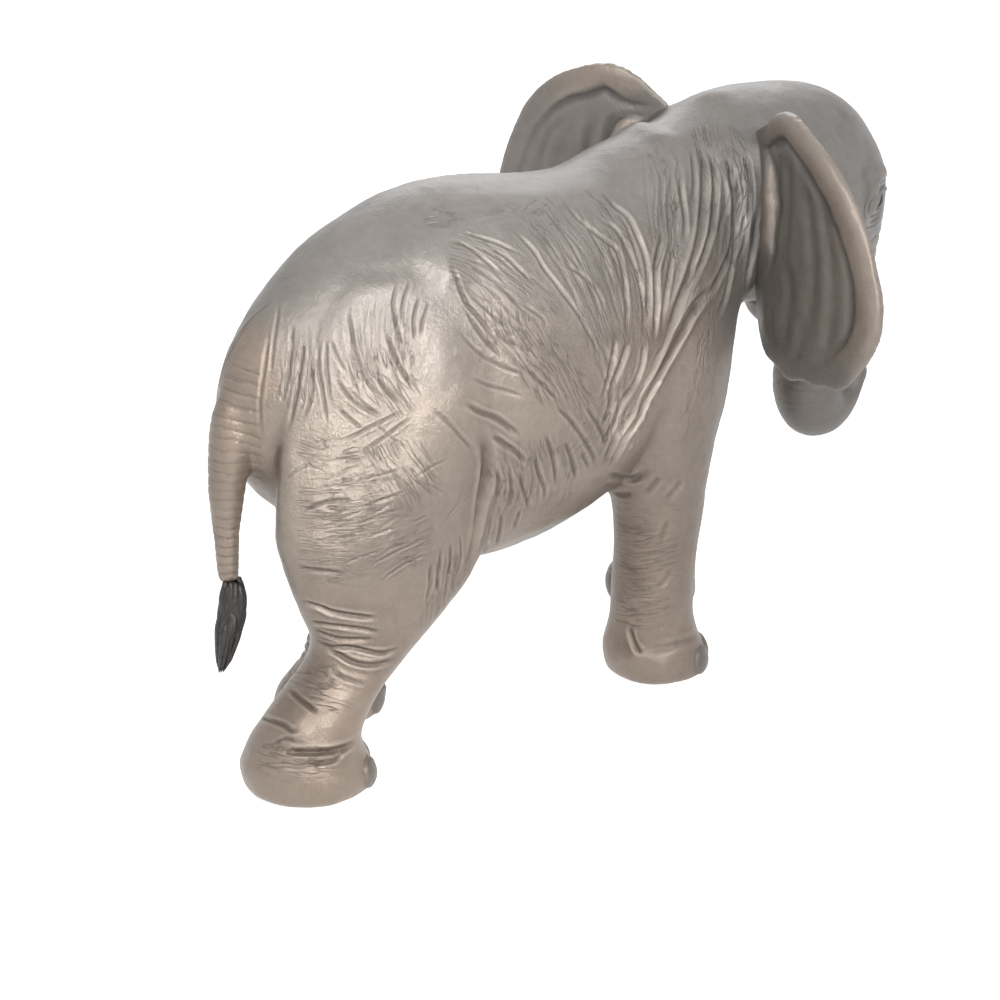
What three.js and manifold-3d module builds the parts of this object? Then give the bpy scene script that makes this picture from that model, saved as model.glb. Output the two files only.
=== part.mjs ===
// Toy figure of a young walking elephant, moulded in separate pieces that plug together.
// The legs sit in pockets of the body, and their outer faces carry on the body's skin.
// Lengths are millimetres. +X is forward, +Y the figure's left, +Z up, and the soles lie at z = 0.
import * as THREE from "three";
import { mergeVertices } from "three/addons/utils/BufferGeometryUtils.js";
import Module from "manifold-3d";

const wasm = await Module();
wasm.setup();

// Fits between pieces
const seamGap = 0.3; // between two pieces whose skins meet
const plugClearance = 0.3; // round a plug in its socket
const overrun = 1; // how far a plug starts inside the piece that carries it
const reachAll = 400; // larger than the figure, for all that lies on one side of a plane

// Skin from the rump over the neck and head down to the trunk's tip, as sections between two rails:
// the back, forehead and front of the trunk above, the belly, throat and rear of the trunk below
const spineRear = -83; // from the front feet's line
const spineLength = 151;
const spineHeight = 102.4;
const spineHalfWidth = 26;
const spineTopPower = 1.85;
const spineLowPower = 2.1;
// Columns: upper rail along and up, lower rail along and up, half width, widest place from low to high
const spineShares = [
  [0.0, 0.654, 0.0, 0.596, 0.115, 0.5],
  [0.017, 0.711, 0.017, 0.527, 0.262, 0.5],
  [0.046, 0.768, 0.046, 0.459, 0.408, 0.48],
  [0.086, 0.819, 0.086, 0.41, 0.546, 0.47],
  [0.139, 0.874, 0.139, 0.361, 0.692, 0.46],
  [0.205, 0.916, 0.205, 0.314, 0.838, 0.45],
  [0.278, 0.936, 0.278, 0.278, 0.954, 0.44],
  [0.351, 0.931, 0.351, 0.278, 1.0, 0.44],
  [0.424, 0.916, 0.424, 0.299, 0.992, 0.44],
  [0.497, 0.911, 0.497, 0.34, 0.935, 0.45],
  [0.563, 0.934, 0.563, 0.396, 0.854, 0.46],
  [0.616, 0.955, 0.616, 0.459, 0.762, 0.48],
  [0.656, 0.963, 0.656, 0.527, 0.692, 0.5],
  [0.695, 0.984, 0.695, 0.589, 0.662, 0.53],
  [0.735, 0.998, 0.735, 0.605, 0.669, 0.54],
  [0.781, 1.0, 0.781, 0.601, 0.685, 0.55],
  [0.828, 0.996, 0.828, 0.586, 0.669, 0.56],
  [0.874, 0.988, 0.861, 0.582, 0.631, 0.58],
  [0.917, 0.966, 0.881, 0.582, 0.577, 0.58],
  [0.954, 0.924, 0.893, 0.582, 0.508, 0.56],
  [0.98, 0.865, 0.897, 0.576, 0.446, 0.54],
  [0.995, 0.801, 0.896, 0.564, 0.4, 0.52],
  [1.0, 0.732, 0.891, 0.547, 0.369, 0.5],
  [0.996, 0.664, 0.884, 0.523, 0.342, 0.5],
  [0.985, 0.596, 0.875, 0.494, 0.315, 0.5],
  [0.971, 0.533, 0.868, 0.459, 0.292, 0.5],
  [0.958, 0.478, 0.862, 0.422, 0.273, 0.5],
  [0.949, 0.434, 0.862, 0.381, 0.262, 0.5],
  [0.948, 0.406, 0.872, 0.338, 0.254, 0.5],
  [0.953, 0.395, 0.895, 0.298, 0.246, 0.5],
  [0.959, 0.395, 0.928, 0.29, 0.235, 0.5],
  [0.964, 0.4, 0.955, 0.312, 0.219, 0.5],
  [0.967, 0.412, 0.977, 0.342, 0.204, 0.5],
  [0.968, 0.428, 0.992, 0.374, 0.188, 0.5],
  [0.97, 0.443, 1.005, 0.4, 0.169, 0.5],
  [0.974, 0.453, 1.001, 0.42, 0.123, 0.5],
];
const uprightRows = 17; // rows of the table whose rails lie straight above each other
// A place given as shares of the spine's length, half width and height
const alongSpine = (share) => spineRear + spineLength * share;
const acrossSpine = (share) => spineHalfWidth * share;
const upSpine = (share) => spineHeight * share;
const spinePoint = ([along, up]) => [alongSpine(along), upSpine(up)];
// Flat joints, as the lower and upper end of the plane: shares along and up the spine
const neckSeamShares = [[0.735, 0.586], [0.629, 0.967]];
const trunkSeamShares = [[0.8914, 0.547], [1.0, 0.7325]];
const neckSeam = neckSeamShares.map(spinePoint);
const trunkSeam = trunkSeamShares.map(spinePoint);

// Legs: level sections from the sole up to the hip or shoulder
const hipAlongShare = 0.152;
const hipUpShare = 0.82; // top of the haunch
const hindStance = 13.5; // a right foot's or a haunch's middle from the figure's middle plane
const hindFootRadius = 11.2;
const hindInset = 5; // how far the left foot stands nearer to the middle plane
const hindWebHalf = 4; // half of the body's web between the two haunches
const hindWebLowShare = 0.332; // under this level the legs aren't cut by the web
const shoulderAlongShare = 0.596;
const shoulderUpShare = 0.84;
const frontStance = 15;
const frontFootRadius = 9.6;
const frontInset = 4.5;
const frontWebHalf = 6;
const frontWebLowShare = 0.381;
const stride = 20;
const insetEndShare = 0.5; // share of a leg's height where the left foot's inset has run out
const leftGirthShare = 0.88; // the left legs are a little slimmer than the right ones
// Columns: height, way from the hip as shares of the stride (right, left), half length, half width
const hindLegShares = [
  [0.0, -0.91, 0.09, 0.96, 0.94],
  [0.02, -0.92, 0.09, 1.0, 0.98],
  [0.055, -0.95, 0.14, 0.99, 0.97],
  [0.1, -0.96, 0.33, 0.84, 0.83],
  [0.135, -0.86, 0.42, 0.79, 0.76],
  [0.171, -0.74, 0.52, 0.77, 0.71],
  [0.204, -0.58, 0.58, 0.77, 0.68],
  [0.238, -0.42, 0.63, 0.82, 0.67],
  [0.273, -0.28, 0.67, 0.94, 0.68],
  [0.31, -0.16, 0.7, 1.17, 0.7],
  [0.357, -0.08, 0.74, 1.48, 0.74],
  [0.43, -0.02, 0.74, 1.81, 0.8],
  [0.52, -0.03, 0.62, 1.99, 0.88],
  [0.62, -0.01, 0.35, 1.96, 0.97],
  [0.72, 0.01, 0.14, 1.83, 1.03],
  [0.82, 0.03, 0.07, 1.58, 1.03],
  [0.9, 0.06, 0.06, 1.2, 1.0],
  [0.96, 0.06, 0.06, 0.8, 0.96],
  [1.0, 0.06, 0.06, 0.35, 0.9],
];
const frontLegShares = [
  [0.0, -0.345, 0.775, 0.95, 0.95],
  [0.022, -0.345, 0.775, 1.0, 1.0],
  [0.064, -0.385, 0.78, 0.97, 0.97],
  [0.1, -0.4, 0.8, 0.86, 0.86],
  [0.14, -0.405, 0.82, 0.79, 0.785],
  [0.21, -0.4, 0.88, 0.795, 0.79],
  [0.28, -0.37, 0.9, 0.8, 0.79],
  [0.35, -0.35, 0.9, 0.86, 0.83],
  [0.43, -0.35, 0.87, 0.96, 0.89],
  [0.52, -0.33, 0.75, 1.07, 0.96],
  [0.605, -0.27, 0.52, 1.2, 1.02],
  [0.7, -0.18, 0.3, 1.26, 1.07],
  [0.8, -0.08, 0.12, 1.22, 1.08],
  [0.88, 0.0, 0.05, 1.05, 1.05],
  [0.95, 0.02, 0.02, 0.74, 1.0],
  [1.0, 0.02, 0.02, 0.34, 0.92],
];
// How far a leg's muscles may stand out from the body's skin: little at the top, free at the bottom
const reliefHigh = 0.3;
const reliefLow = 14;
const reliefHighShare = 0.762; // levels on the spine's height
const reliefLowShare = 0.449;
const reliefHighZ = upSpine(reliefHighShare);
const reliefLowZ = upSpine(reliefLowShare);
const roomMargin = 0.3;

// Main folds of the skin, cut as V grooves
const foldSides = 4;
const foldEndShare = 0.2; // share of the depth left at a fold's ends
const legFoldSteps = 3;
const deepFold = 1.7;
const mainFold = 1.25;
const fineFold = 0.9;
// Folds of both flanks, as shares along and up the spine
const flankFolds = [
  { depth: deepFold, way: [[0.59, 0.72], [0.53, 0.66], [0.464, 0.568], [0.42, 0.46]] }, // armpit
  { depth: deepFold, way: [[0.642, 0.92], [0.62, 0.86], [0.572, 0.77], [0.5, 0.65]] }, // neck
  { depth: deepFold, way: [[0.672, 0.91], [0.66, 0.836], [0.632, 0.76], [0.575, 0.69]] },
  { depth: mainFold, way: [[0.56, 0.86], [0.527, 0.79], [0.5, 0.72], [0.476, 0.64]] }, // shoulder
  { depth: mainFold, way: [[0.487, 0.88], [0.5, 0.82], [0.488, 0.75], [0.46, 0.66], [0.43, 0.57]] },
  { depth: mainFold, way: [[0.415, 0.865], [0.445, 0.8], [0.442, 0.71], [0.408, 0.62]] }, // flank
  { depth: mainFold, way: [[0.328, 0.873], [0.346, 0.808], [0.376, 0.73]] },
  { depth: mainFold, way: [[0.232, 0.839], [0.237, 0.772], [0.264, 0.707]] }, // hip
  { depth: mainFold, way: [[0.22, 0.635], [0.247, 0.593], [0.288, 0.537]] }, // groin
  { depth: mainFold, way: [[0.296, 0.52], [0.317, 0.48], [0.322, 0.43]] },
  { depth: fineFold, way: [[0.067, 0.745], [0.05, 0.69], [0.038, 0.63]] }, // rump
  { depth: fineFold, way: [[0.113, 0.79], [0.109, 0.7], [0.123, 0.646]] },
  { depth: fineFold, way: [[0.173, 0.81], [0.153, 0.767], [0.149, 0.71], [0.158, 0.655]] },
];
// Folds round a leg: from and to as shares of its height, and degrees from its front round its outer face
const hindLegFolds = [
  { depth: mainFold, from: [0.7, 64], to: [0.4, 56] }, // along the leg's front edge
  { depth: fineFold, from: [0.64, 128], to: [0.67, 98] },
  { depth: fineFold, from: [0.55, 122], to: [0.6, 84] },
  { depth: fineFold, from: [0.475, 112], to: [0.515, 82] },
  { depth: mainFold, from: [0.41, 165], to: [0.36, 92] },
  { depth: mainFold, from: [0.305, 190], to: [0.29, 84] },
  { depth: mainFold, from: [0.2, 175], to: [0.175, 128] },
  { depth: mainFold, from: [0.115, 175], to: [0.118, 60] },
];
const frontLegFolds = [
  { depth: fineFold, from: [0.47, 150], to: [0.46, 70] },
  { depth: mainFold, from: [0.088, 200], to: [0.1, 75] },
];

// Toenails, moulded with the foot
const nailHalfWidth = 2.6;
const nailHalfHeight = 2.2;
const nailHalfDepth = 1.4;
const nailLevel = 3;
const nailSinkShare = 0.45; // how much of the depth lies inside the foot's outline
const frontNailAngles = [-66, -22, 22, 66];
const hindNailAngles = [-52, 0, 52];

// Tail and tuft: round sections square to a path in the middle plane
const tailAhead = 6.5; // of the spine's rear
const tailUpShare = 0.679;
const tailRootX = spineRear + tailAhead;
const tailRootZ = upSpine(tailUpShare);
const tailDrop = 35.5;
const tailSweep = 7.6; // how far the tail swings back from its root
const tailRootRadius = 4.6;
// Columns: back share of the sweep, down share of the drop, radius share
const tailShares = [
  [0.0, 0.0, 1.0],
  [0.5, 0.13, 0.93],
  [0.76, 0.29, 0.84],
  [0.9, 0.44, 0.73],
  [0.97, 0.6, 0.62],
  [1.0, 0.77, 0.48],
  [1.0, 0.9, 0.42],
  [0.98, 1.0, 0.38],
];
const tuftLength = 14.5;
const tuftSweep = 3.6;
const tuftRadius = 2.7;
const tuftShares = [
  [0.0, 0.0, 0.74],
  [0.03, 0.2, 0.93],
  [0.18, 0.42, 1.0],
  [0.44, 0.64, 0.97],
  [0.78, 0.86, 0.7],
  [1.0, 1.0, 0.26],
];

// Lower jaw: upright sections from the throat to the lip
const jawAlongShare = 0.811;
const jawLengthShare = 0.093;
const jawWideShare = 0.277;
const jawUpShare = 0.625;
const jawDepthShare = 0.1025;
const jawRear = alongSpine(jawAlongShare);
const jawLength = spineLength * jawLengthShare;
const jawHalfWidth = acrossSpine(jawWideShare);
const jawTop = upSpine(jawUpShare);
const jawDepth = spineHeight * jawDepthShare;
// Columns: along the length, half width, top and bottom as shares of the depth below the top
const jawShares = [
  [0.0, 0.7, 0.0, 0.55],
  [0.15, 0.95, 0.02, 0.84],
  [0.35, 1.0, 0.08, 1.0],
  [0.55, 0.88, 0.16, 1.05],
  [0.75, 0.68, 0.26, 1.05],
  [0.9, 0.46, 0.4, 1.0],
  [1.0, 0.2, 0.6, 0.9],
];

// Ears: curved sheets spread out sideways, drawn outward from the side of the head
const earRootShares = [0.715, 0.4615, 0.781]; // along, across and up the spine
const earRootX = alongSpine(earRootShares[0]);
const earRootY = acrossSpine(earRootShares[1]);
const earRootZ = upSpine(earRootShares[2]);
const rightEarReach = 40; // from the root to the outer rim
const leftEarReach = 37;
const earRise = 26.5; // from the root's middle up to the top rim
const earThickness = 2.6;
const earRimThickness = 1.5;
const earEdgeShare = 0.35; // how much of the rim's thickness is left at the very edge
const earSweep = 8; // how far the outer rim lies behind the root
const earCup = 3; // how far the sheet bows backwards between root and rim
const rightEarDroop = 8; // degrees
const leftEarDroop = -1;
// Outline seen along the figure: outward share of the reach, upward share of the rise
const earOutlineShares = [
  [-0.12, 0.56],
  [-0.06, 0.66],
  [0.03, 0.76],
  [0.12, 0.87],
  [0.22, 0.94],
  [0.33, 0.94],
  [0.45, 0.89],
  [0.58, 0.81],
  [0.72, 0.68],
  [0.85, 0.48],
  [0.95, 0.23],
  [1.02, -0.02],
  [1.03, -0.22],
  [0.98, -0.44],
  [0.9, -0.63],
  [0.78, -0.74],
  [0.62, -0.79],
  [0.46, -0.82],
  [0.32, -0.79],
  [0.23, -0.68],
  [0.15, -0.48],
  [0.05, -0.15],
  [-0.03, 0.2],
  [-0.09, 0.42],
];
const earMiddleShares = [0.47, 0.03]; // where the sheet's rings start

// Eyes: glossy beads let into the head
const eyeRadius = 2.1;
const eyeShares = [0.927, 0.4615, 0.776]; // along, across and up the spine
const eyeX = alongSpine(eyeShares[0]);
const eyeY = acrossSpine(eyeShares[1]);
const eyeZ = upSpine(eyeShares[2]);

// Plugs and their sockets
const neckPlugRadius = 4;
const neckPlugDepth = 9;
const trunkPlugRadius = 3.5;
const trunkPlugDepth = 6;
const tailPlugRadius = 1.8;
const tailPlugFrom = [-6.5, -10]; // forward and up from the tail's root
const tailPlugTo = [0.5, -2.5];
const jawPlugRadius = 2;
const jawPlugAlongShare = 0.39; // of the jaw's length from its rear
const jawPlugDownShare = 0.57; // of the jaw's depth under its top
const jawPlugRise = 1; // above the jaw's top
const earPinRadius = 1.1;
const earPinEndShares = [0.2, -0.075]; // outward along the ear's reach, from the root
const earPinUpShares = [0.075, 0.3]; // up the ear's rise
const tuftPlugRadius = 0.7;
const tuftPlugDepth = 3;

// Facets
const spineSides = 30;
const legSides = 20;
const tailSides = 12;
const jawSides = 16;
const earRings = 4;
const wallRings = 6;
const plugSides = 14;
const nailSides = 8;
const eyeSides = 12;

const colours = { skin: 0x857b73, tuft: 0x1f1d1c, eye: 0x120d0a };
const skin = new THREE.MeshStandardMaterial({ color: colours.skin, roughness: 0.42, metalness: 0.1 });
const tuftSkin = new THREE.MeshStandardMaterial({ color: colours.tuft, roughness: 0.5, metalness: 0 });
const eyeGloss = new THREE.MeshStandardMaterial({ color: colours.eye, roughness: 0.12, metalness: 0 });

// One value of a Catmull-Rom spline through a table's column
function columnAt(rows, column, place) {
  const last = rows.length - 1;
  const i = Math.min(Math.floor(place), last - 1);
  const t = place - i;
  const at = (k) => rows[Math.max(0, Math.min(last, k))][column];
  const [a, b, c, d] = [at(i - 1), at(i), at(i + 1), at(i + 2)];
  const bend = (2 * a - 5 * b + 4 * c - d) * t * t;
  const twist = (3 * b - a - 3 * c + d) * t * t * t;
  return (2 * b + (c - a) * t + bend + twist) / 2;
}

// A table with extra rows between its own, on smooth curves
function refined(rows, steps) {
  const made = [];
  for (let k = 0; k <= (rows.length - 1) * steps; k++) {
    made.push(rows[0].map((_, column) => columnAt(rows, column, k / steps)));
  }
  return made;
}

const powered = (value, power) => Math.sign(value) * Math.abs(value) ** (2 / power);

// Which way the end rings of a loft move when its skin is grown
const endWay = (index, count) => (index === 0 ? -1 : index === count - 1 ? 1 : 0);

// A closed skin over rings of equally many points, with a fan over each end
function loft(rings) {
  const sides = rings[0].length;
  const points = rings.flat();
  const centre = (ring) => ring.reduce((sum, p) => sum.add(p), new THREE.Vector3()).divideScalar(sides);
  points.push(centre(rings[0]), centre(rings[rings.length - 1]));
  const first = rings.length * sides;
  const faces = [];
  for (let r = 0; r + 1 < rings.length; r++) {
    for (let s = 0; s < sides; s++) {
      const a = r * sides + s;
      const b = r * sides + ((s + 1) % sides);
      faces.push(a, b, b + sides, a, b + sides, a + sides);
    }
  }
  for (let s = 0; s < sides; s++) {
    const next = (s + 1) % sides;
    faces.push(first, next, s);
    faces.push(first + 1, first - sides + s, first - sides + next);
  }
  const geometry = new THREE.BufferGeometry().setFromPoints(points);
  geometry.setIndex(faces);
  return solidOf(geometry);
}

// A closed geometry as a solid that can be joined and cut, with its faces out
function solidOf(geometry) {
  const bare = geometry.clone();
  bare.deleteAttribute("normal");
  bare.deleteAttribute("uv");
  const merged = mergeVertices(bare);
  const vertProperties = merged.attributes.position.array;
  const faces = Array.from(merged.index.array);
  const make = (list) => {
    const mesh = new wasm.Mesh({ numProp: 3, vertProperties, triVerts: new Uint32Array(list) });
    return new wasm.Manifold(mesh);
  };
  const made = make(faces);
  return made.volume() > 0 ? made : make(faces.reverse());
}

function meshOf(name, solid, material) {
  const { numProp, vertProperties, triVerts } = solid.getMesh();
  const geometry = new THREE.BufferGeometry();
  const places = new THREE.InterleavedBuffer(vertProperties, numProp);
  geometry.setAttribute("position", new THREE.InterleavedBufferAttribute(places, 3, 0));
  geometry.setIndex(new THREE.BufferAttribute(triVerts, 1));
  const flat = geometry.toNonIndexed();
  flat.computeVertexNormals();
  const mesh = new THREE.Mesh(flat, material);
  mesh.name = name;
  return mesh;
}

// Sections of the skin, grown all round: two rail points as [x, z], half width and widest place
function spineSections(grow) {
  const rows = refined(spineShares, 2);
  return rows.map(([topX, topZ, lowX, lowZ, wide, widest], index) => {
    const top = new THREE.Vector3(spineRear + spineLength * topX, 0, spineHeight * topZ);
    const low = new THREE.Vector3(spineRear + spineLength * lowX, 0, spineHeight * lowZ);
    const up = top.clone().sub(low).normalize();
    const ahead = new THREE.Vector3().crossVectors(new THREE.Vector3(0, 1, 0), up);
    const end = ahead.multiplyScalar(grow * endWay(index, rows.length));
    top.addScaledVector(up, grow).add(end);
    low.addScaledVector(up, -grow).add(end);
    return { top, low, half: spineHalfWidth * wide + grow, middle: low.clone().lerp(top, widest) };
  });
}

function spineLoft(grow) {
  const rings = spineSections(grow).map(({ top, low, half, middle }) =>
    Array.from({ length: spineSides }, (_, k) => {
      const angle = (2 * Math.PI * k) / spineSides;
      const upper = Math.sin(angle) > 0;
      const power = upper ? spineTopPower : spineLowPower;
      const point = middle.clone().lerp(upper ? top : low, Math.abs(powered(Math.sin(angle), power)));
      point.y = half * powered(Math.cos(angle), power);
      return point;
    }),
  );
  return loft(rings);
}

// Sideways room for the legs' muscles at a level
function relief(z) {
  const t = Math.min(1, Math.max(0, (reliefHighZ - z) / (reliefHighZ - reliefLowZ)));
  return reliefHigh + (reliefLow - reliefHigh) * t * t * t;
}

// Half width of the room for the legs' outer faces: the skin with its relief,
// straight down from its widest level
function roomHalf(section, z) {
  const { top, half, middle } = section;
  const share = Math.min(1, Math.max(0, (z - middle.z) / (top.z - middle.z)));
  return half * (1 - share ** spineTopPower) ** (1 / spineTopPower) + relief(z);
}

const uprights = spineSections(0).slice(0, uprightRows * 2 - 1);

function roomAt(x, z) {
  const next = Math.max(1, uprights.findIndex((section) => section.top.x > x));
  const [a, b] = [uprights[next - 1], uprights[next]];
  const share = THREE.MathUtils.clamp((x - a.top.x) / (b.top.x - a.top.x), 0, 1);
  return THREE.MathUtils.lerp(roomHalf(a, z), roomHalf(b, z), share);
}

// The room as a solid, with a little margin round the faces that already keep to it
function legRoom() {
  const rings = uprights.map((section) => {
    const { top, middle } = section;
    const arch = Array.from({ length: spineSides + 1 }, (_, k) => {
      const angle = (Math.PI * k) / spineSides;
      const z = middle.z + (top.z - middle.z) * powered(Math.sin(angle), spineTopPower);
      return [(roomHalf(section, z) + roomMargin) * Math.sign(Math.round(spineSides / 2) - k), z];
    });
    const levels = Array.from({ length: wallRings }, (_, k) => (middle.z * k) / wallRings);
    const wall = levels.map((z) => [roomHalf(section, z) + roomMargin, z]);
    const outline = [...arch, ...wall.map(([y, z]) => [-y, z]).reverse(), ...wall];
    return outline.map(([y, z]) => new THREE.Vector3(section.top.x, y, z));
  });
  return loft(rings).add(below(reliefLowZ));
}

// A leg: level oval sections that run from the foot into the haunch or shoulder, flat towards the web.
// Its outer face keeps to the room, unless it is drawn free to cut its pocket.
function legLoft(leg, grow, free) {
  const rows = leg.shares;
  const rings = rows.map((row, index) => {
    const [up, rightWay, leftWay, long, wide] = row;
    const x = leg.topX + stride * (leg.side < 0 ? rightWay : leftWay);
    const y = leg.stance - leg.inset * (1 - THREE.MathUtils.smoothstep(up, 0, insetEndShare));
    const halfLong = leg.footRadius * long + grow;
    const halfWide = leg.footRadius * wide + grow;
    const z = leg.height * up + endWay(index, rows.length) * grow;
    return Array.from({ length: legSides }, (_, k) => {
      const angle = (2 * Math.PI * k) / legSides;
      const pointX = x + halfLong * Math.cos(angle);
      const own = y + halfWide * Math.sin(angle);
      const kept = free || z < reliefLowZ ? own : Math.min(own, Math.max(y, roomAt(pointX, z)));
      return new THREE.Vector3(pointX, leg.side * kept, z);
    });
  });
  const inner = leg.side * (leg.webHalf - grow);
  const outerSide = box([-reachAll, inner, -reachAll], [reachAll, leg.side * reachAll, reachAll]);
  return loft(rings).intersect(outerSide.add(below(leg.webLow)));
}

// A point on a leg's face, at a share of its height and degrees from its front round its outer face
function legPoint(leg, up, degrees) {
  const rows = leg.shares;
  const next = Math.max(1, rows.findIndex((row) => row[0] >= up));
  const [a, b] = [rows[next - 1], rows[next]];
  const row = a.map((value, column) => THREE.MathUtils.lerp(value, b[column], (up - a[0]) / (b[0] - a[0])));
  const angle = THREE.MathUtils.degToRad(degrees);
  const x = leg.topX + stride * row[leg.side < 0 ? 1 : 2] + leg.footRadius * row[3] * Math.cos(angle);
  const y = leg.stance - leg.inset * (1 - THREE.MathUtils.smoothstep(up, 0, insetEndShare));
  const own = y + leg.footRadius * row[4] * Math.sin(angle);
  const z = leg.height * up;
  const kept = z < reliefLowZ ? own : Math.min(own, Math.max(y, roomAt(x, z)));
  return new THREE.Vector3(x, leg.side * kept, z);
}

// Half width of the spine's skin at a place of the side view
function spineHalfAt(x, z) {
  const halves = uprights.map(({ top, low, half, middle }) => {
    const [end, power] = z > middle.z ? [top.z, spineTopPower] : [low.z, spineLowPower];
    const share = Math.min(1, (z - middle.z) / (end - middle.z));
    return half * (1 - share ** power) ** (1 / power);
  });
  const next = Math.max(1, uprights.findIndex((section) => section.top.x > x));
  const [a, b] = [uprights[next - 1].top.x, uprights[next].top.x];
  return THREE.MathUtils.lerp(halves[next - 1], halves[next], (x - a) / (b - a));
}

// Half width of a leg there, or none where the leg doesn't reach
function legHalfAt(leg, x, z) {
  const up = z / leg.height;
  if (up >= 1) return 0;
  const front = legPoint(leg, up, 0).x;
  const rear = legPoint(leg, up, 180).x;
  const share = (x - (front + rear) / 2) / ((front - rear) / 2);
  if (Math.abs(share) >= 1) return 0;
  return Math.abs(legPoint(leg, up, THREE.MathUtils.radToDeg(Math.acos(share))).y);
}

// A V groove along a way on the skin, as the solid that cuts it
function groove(way, depth) {
  const rings = way.map((point, index) => {
    const along = way[Math.min(index + 1, way.length - 1)].clone().sub(way[Math.max(index - 1, 0)]);
    const out = new THREE.Vector3(0, Math.sign(point.y), 0);
    const across = new THREE.Vector3().crossVectors(along, out).normalize();
    out.crossVectors(across, along).normalize();
    const reach = depth * (endWay(index, way.length) ? foldEndShare : 1);
    return Array.from({ length: foldSides }, (_, k) => {
      const angle = (2 * Math.PI * k) / foldSides;
      const off = out.clone().multiplyScalar(Math.cos(angle)).addScaledVector(across, Math.sin(angle));
      return point.clone().addScaledVector(off, reach);
    });
  });
  return loft(rings);
}

function flankGroove({ way, depth }, side) {
  const near = legs.filter((leg) => leg.side === side);
  const points = way.map((shares) => {
    const [x, z] = spinePoint(shares);
    const half = Math.max(spineHalfAt(x, z), ...near.map((leg) => legHalfAt(leg, x, z)));
    return new THREE.Vector3(x, side * half, z);
  });
  return groove(points, depth);
}

function legGroove(leg, { from, to, depth }) {
  const rows = refined([from, to], legFoldSteps);
  return groove(rows.map(([up, degrees]) => legPoint(leg, up, degrees)), depth);
}

// A round limb square to a path in the middle plane, from a table of forward, down and radius shares
function pathLoft(path, grow) {
  const centres = path.shares.map(
    ([forward, down]) => new THREE.Vector3(path.x + path.reach * forward, 0, path.z - path.drop * down),
  );
  const curve = new THREE.CatmullRomCurve3(centres, false, "centripetal");
  const steps = (centres.length - 1) * 2;
  const side = new THREE.Vector3(0, 1, 0);
  const rings = [];
  for (let k = 0; k <= steps; k++) {
    const tangent = curve.getTangent(k / steps);
    const out = new THREE.Vector3().crossVectors(side, tangent).normalize();
    const centre = curve.getPoint(k / steps).addScaledVector(tangent, endWay(k, steps + 1) * grow);
    const radius = path.radius * columnAt(path.shares, 2, k / 2) + grow;
    rings.push(
      Array.from({ length: path.sides }, (_, s) => {
        const angle = (2 * Math.PI * s) / path.sides;
        const point = centre.clone().addScaledVector(side, radius * Math.cos(angle));
        return point.addScaledVector(out, radius * Math.sin(angle));
      }),
    );
  }
  return loft(rings);
}

const tailPath = {
  shares: tailShares,
  x: tailRootX,
  z: tailRootZ,
  reach: -tailSweep,
  drop: tailDrop,
  radius: tailRootRadius,
  sides: tailSides,
};
const tailEndX = tailRootX - tailSweep * tailShares[tailShares.length - 1][0];
const tailEndZ = tailRootZ - tailDrop;
const tuftPath = {
  shares: tuftShares,
  x: tailEndX,
  z: tailEndZ - seamGap,
  reach: -tuftSweep,
  drop: tuftLength,
  radius: tuftRadius,
  sides: tailSides,
};

function jawLoft(grow) {
  const rows = refined(jawShares, 2);
  const rings = rows.map(([along, wide, top, bottom], index) => {
    const x = jawRear + jawLength * along + endWay(index, rows.length) * grow;
    const half = jawHalfWidth * wide + grow;
    const high = jawTop - jawDepth * top + grow;
    const low = jawTop - jawDepth * bottom - grow;
    return Array.from({ length: jawSides }, (_, k) => {
      const angle = (2 * Math.PI * k) / jawSides;
      const z = (high + low) / 2 + ((high - low) / 2) * Math.sin(angle);
      return new THREE.Vector3(x, half * Math.cos(angle), z);
    });
  });
  return loft(rings);
}

// A round plug or socket between two points
function rod([fromX, fromY, fromZ], [toX, toY, toZ], radius) {
  const from = new THREE.Vector3(fromX, fromY, fromZ);
  const to = new THREE.Vector3(toX, toY, toZ);
  const geometry = new THREE.CylinderGeometry(radius, radius, from.distanceTo(to), plugSides);
  const way = to.clone().sub(from).normalize();
  geometry.applyQuaternion(new THREE.Quaternion().setFromUnitVectors(new THREE.Vector3(0, 1, 0), way));
  const middle = from.add(to).multiplyScalar(0.5);
  geometry.translate(middle.x, middle.y, middle.z);
  return solidOf(geometry);
}

// A box between two opposite corners
function box(corner, opposite) {
  const spans = corner.map((value, axis) => Math.abs(opposite[axis] - value));
  const middle = corner.map((value, axis) => (opposite[axis] + value) / 2);
  return solidOf(new THREE.BoxGeometry(...spans).translate(...middle));
}

// All that lies under a level
function below(z) {
  return box([-reachAll, -reachAll, -reachAll], [reachAll, reachAll, z]);
}

// All that lies ahead of a flat joint, or behind it, moved off it by a gap
function besides([lowEnd, highEnd], ahead, gap) {
  const middle = new THREE.Vector3((lowEnd[0] + highEnd[0]) / 2, 0, (lowEnd[1] + highEnd[1]) / 2);
  const normal = jointNormal([lowEnd, highEnd]).multiplyScalar(ahead ? 1 : -1);
  const geometry = new THREE.BoxGeometry(reachAll, reachAll, reachAll);
  geometry.applyQuaternion(new THREE.Quaternion().setFromUnitVectors(new THREE.Vector3(0, 0, 1), normal));
  const centre = middle.addScaledVector(normal, reachAll / 2 + gap);
  return solidOf(geometry.translate(centre.x, centre.y, centre.z));
}

// The way that a joint's forward side faces
function jointNormal([lowEnd, highEnd]) {
  const [alongX, alongZ] = [highEnd[0] - lowEnd[0], highEnd[1] - lowEnd[1]];
  return new THREE.Vector3(alongZ, 0, -alongX).normalize();
}

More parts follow.
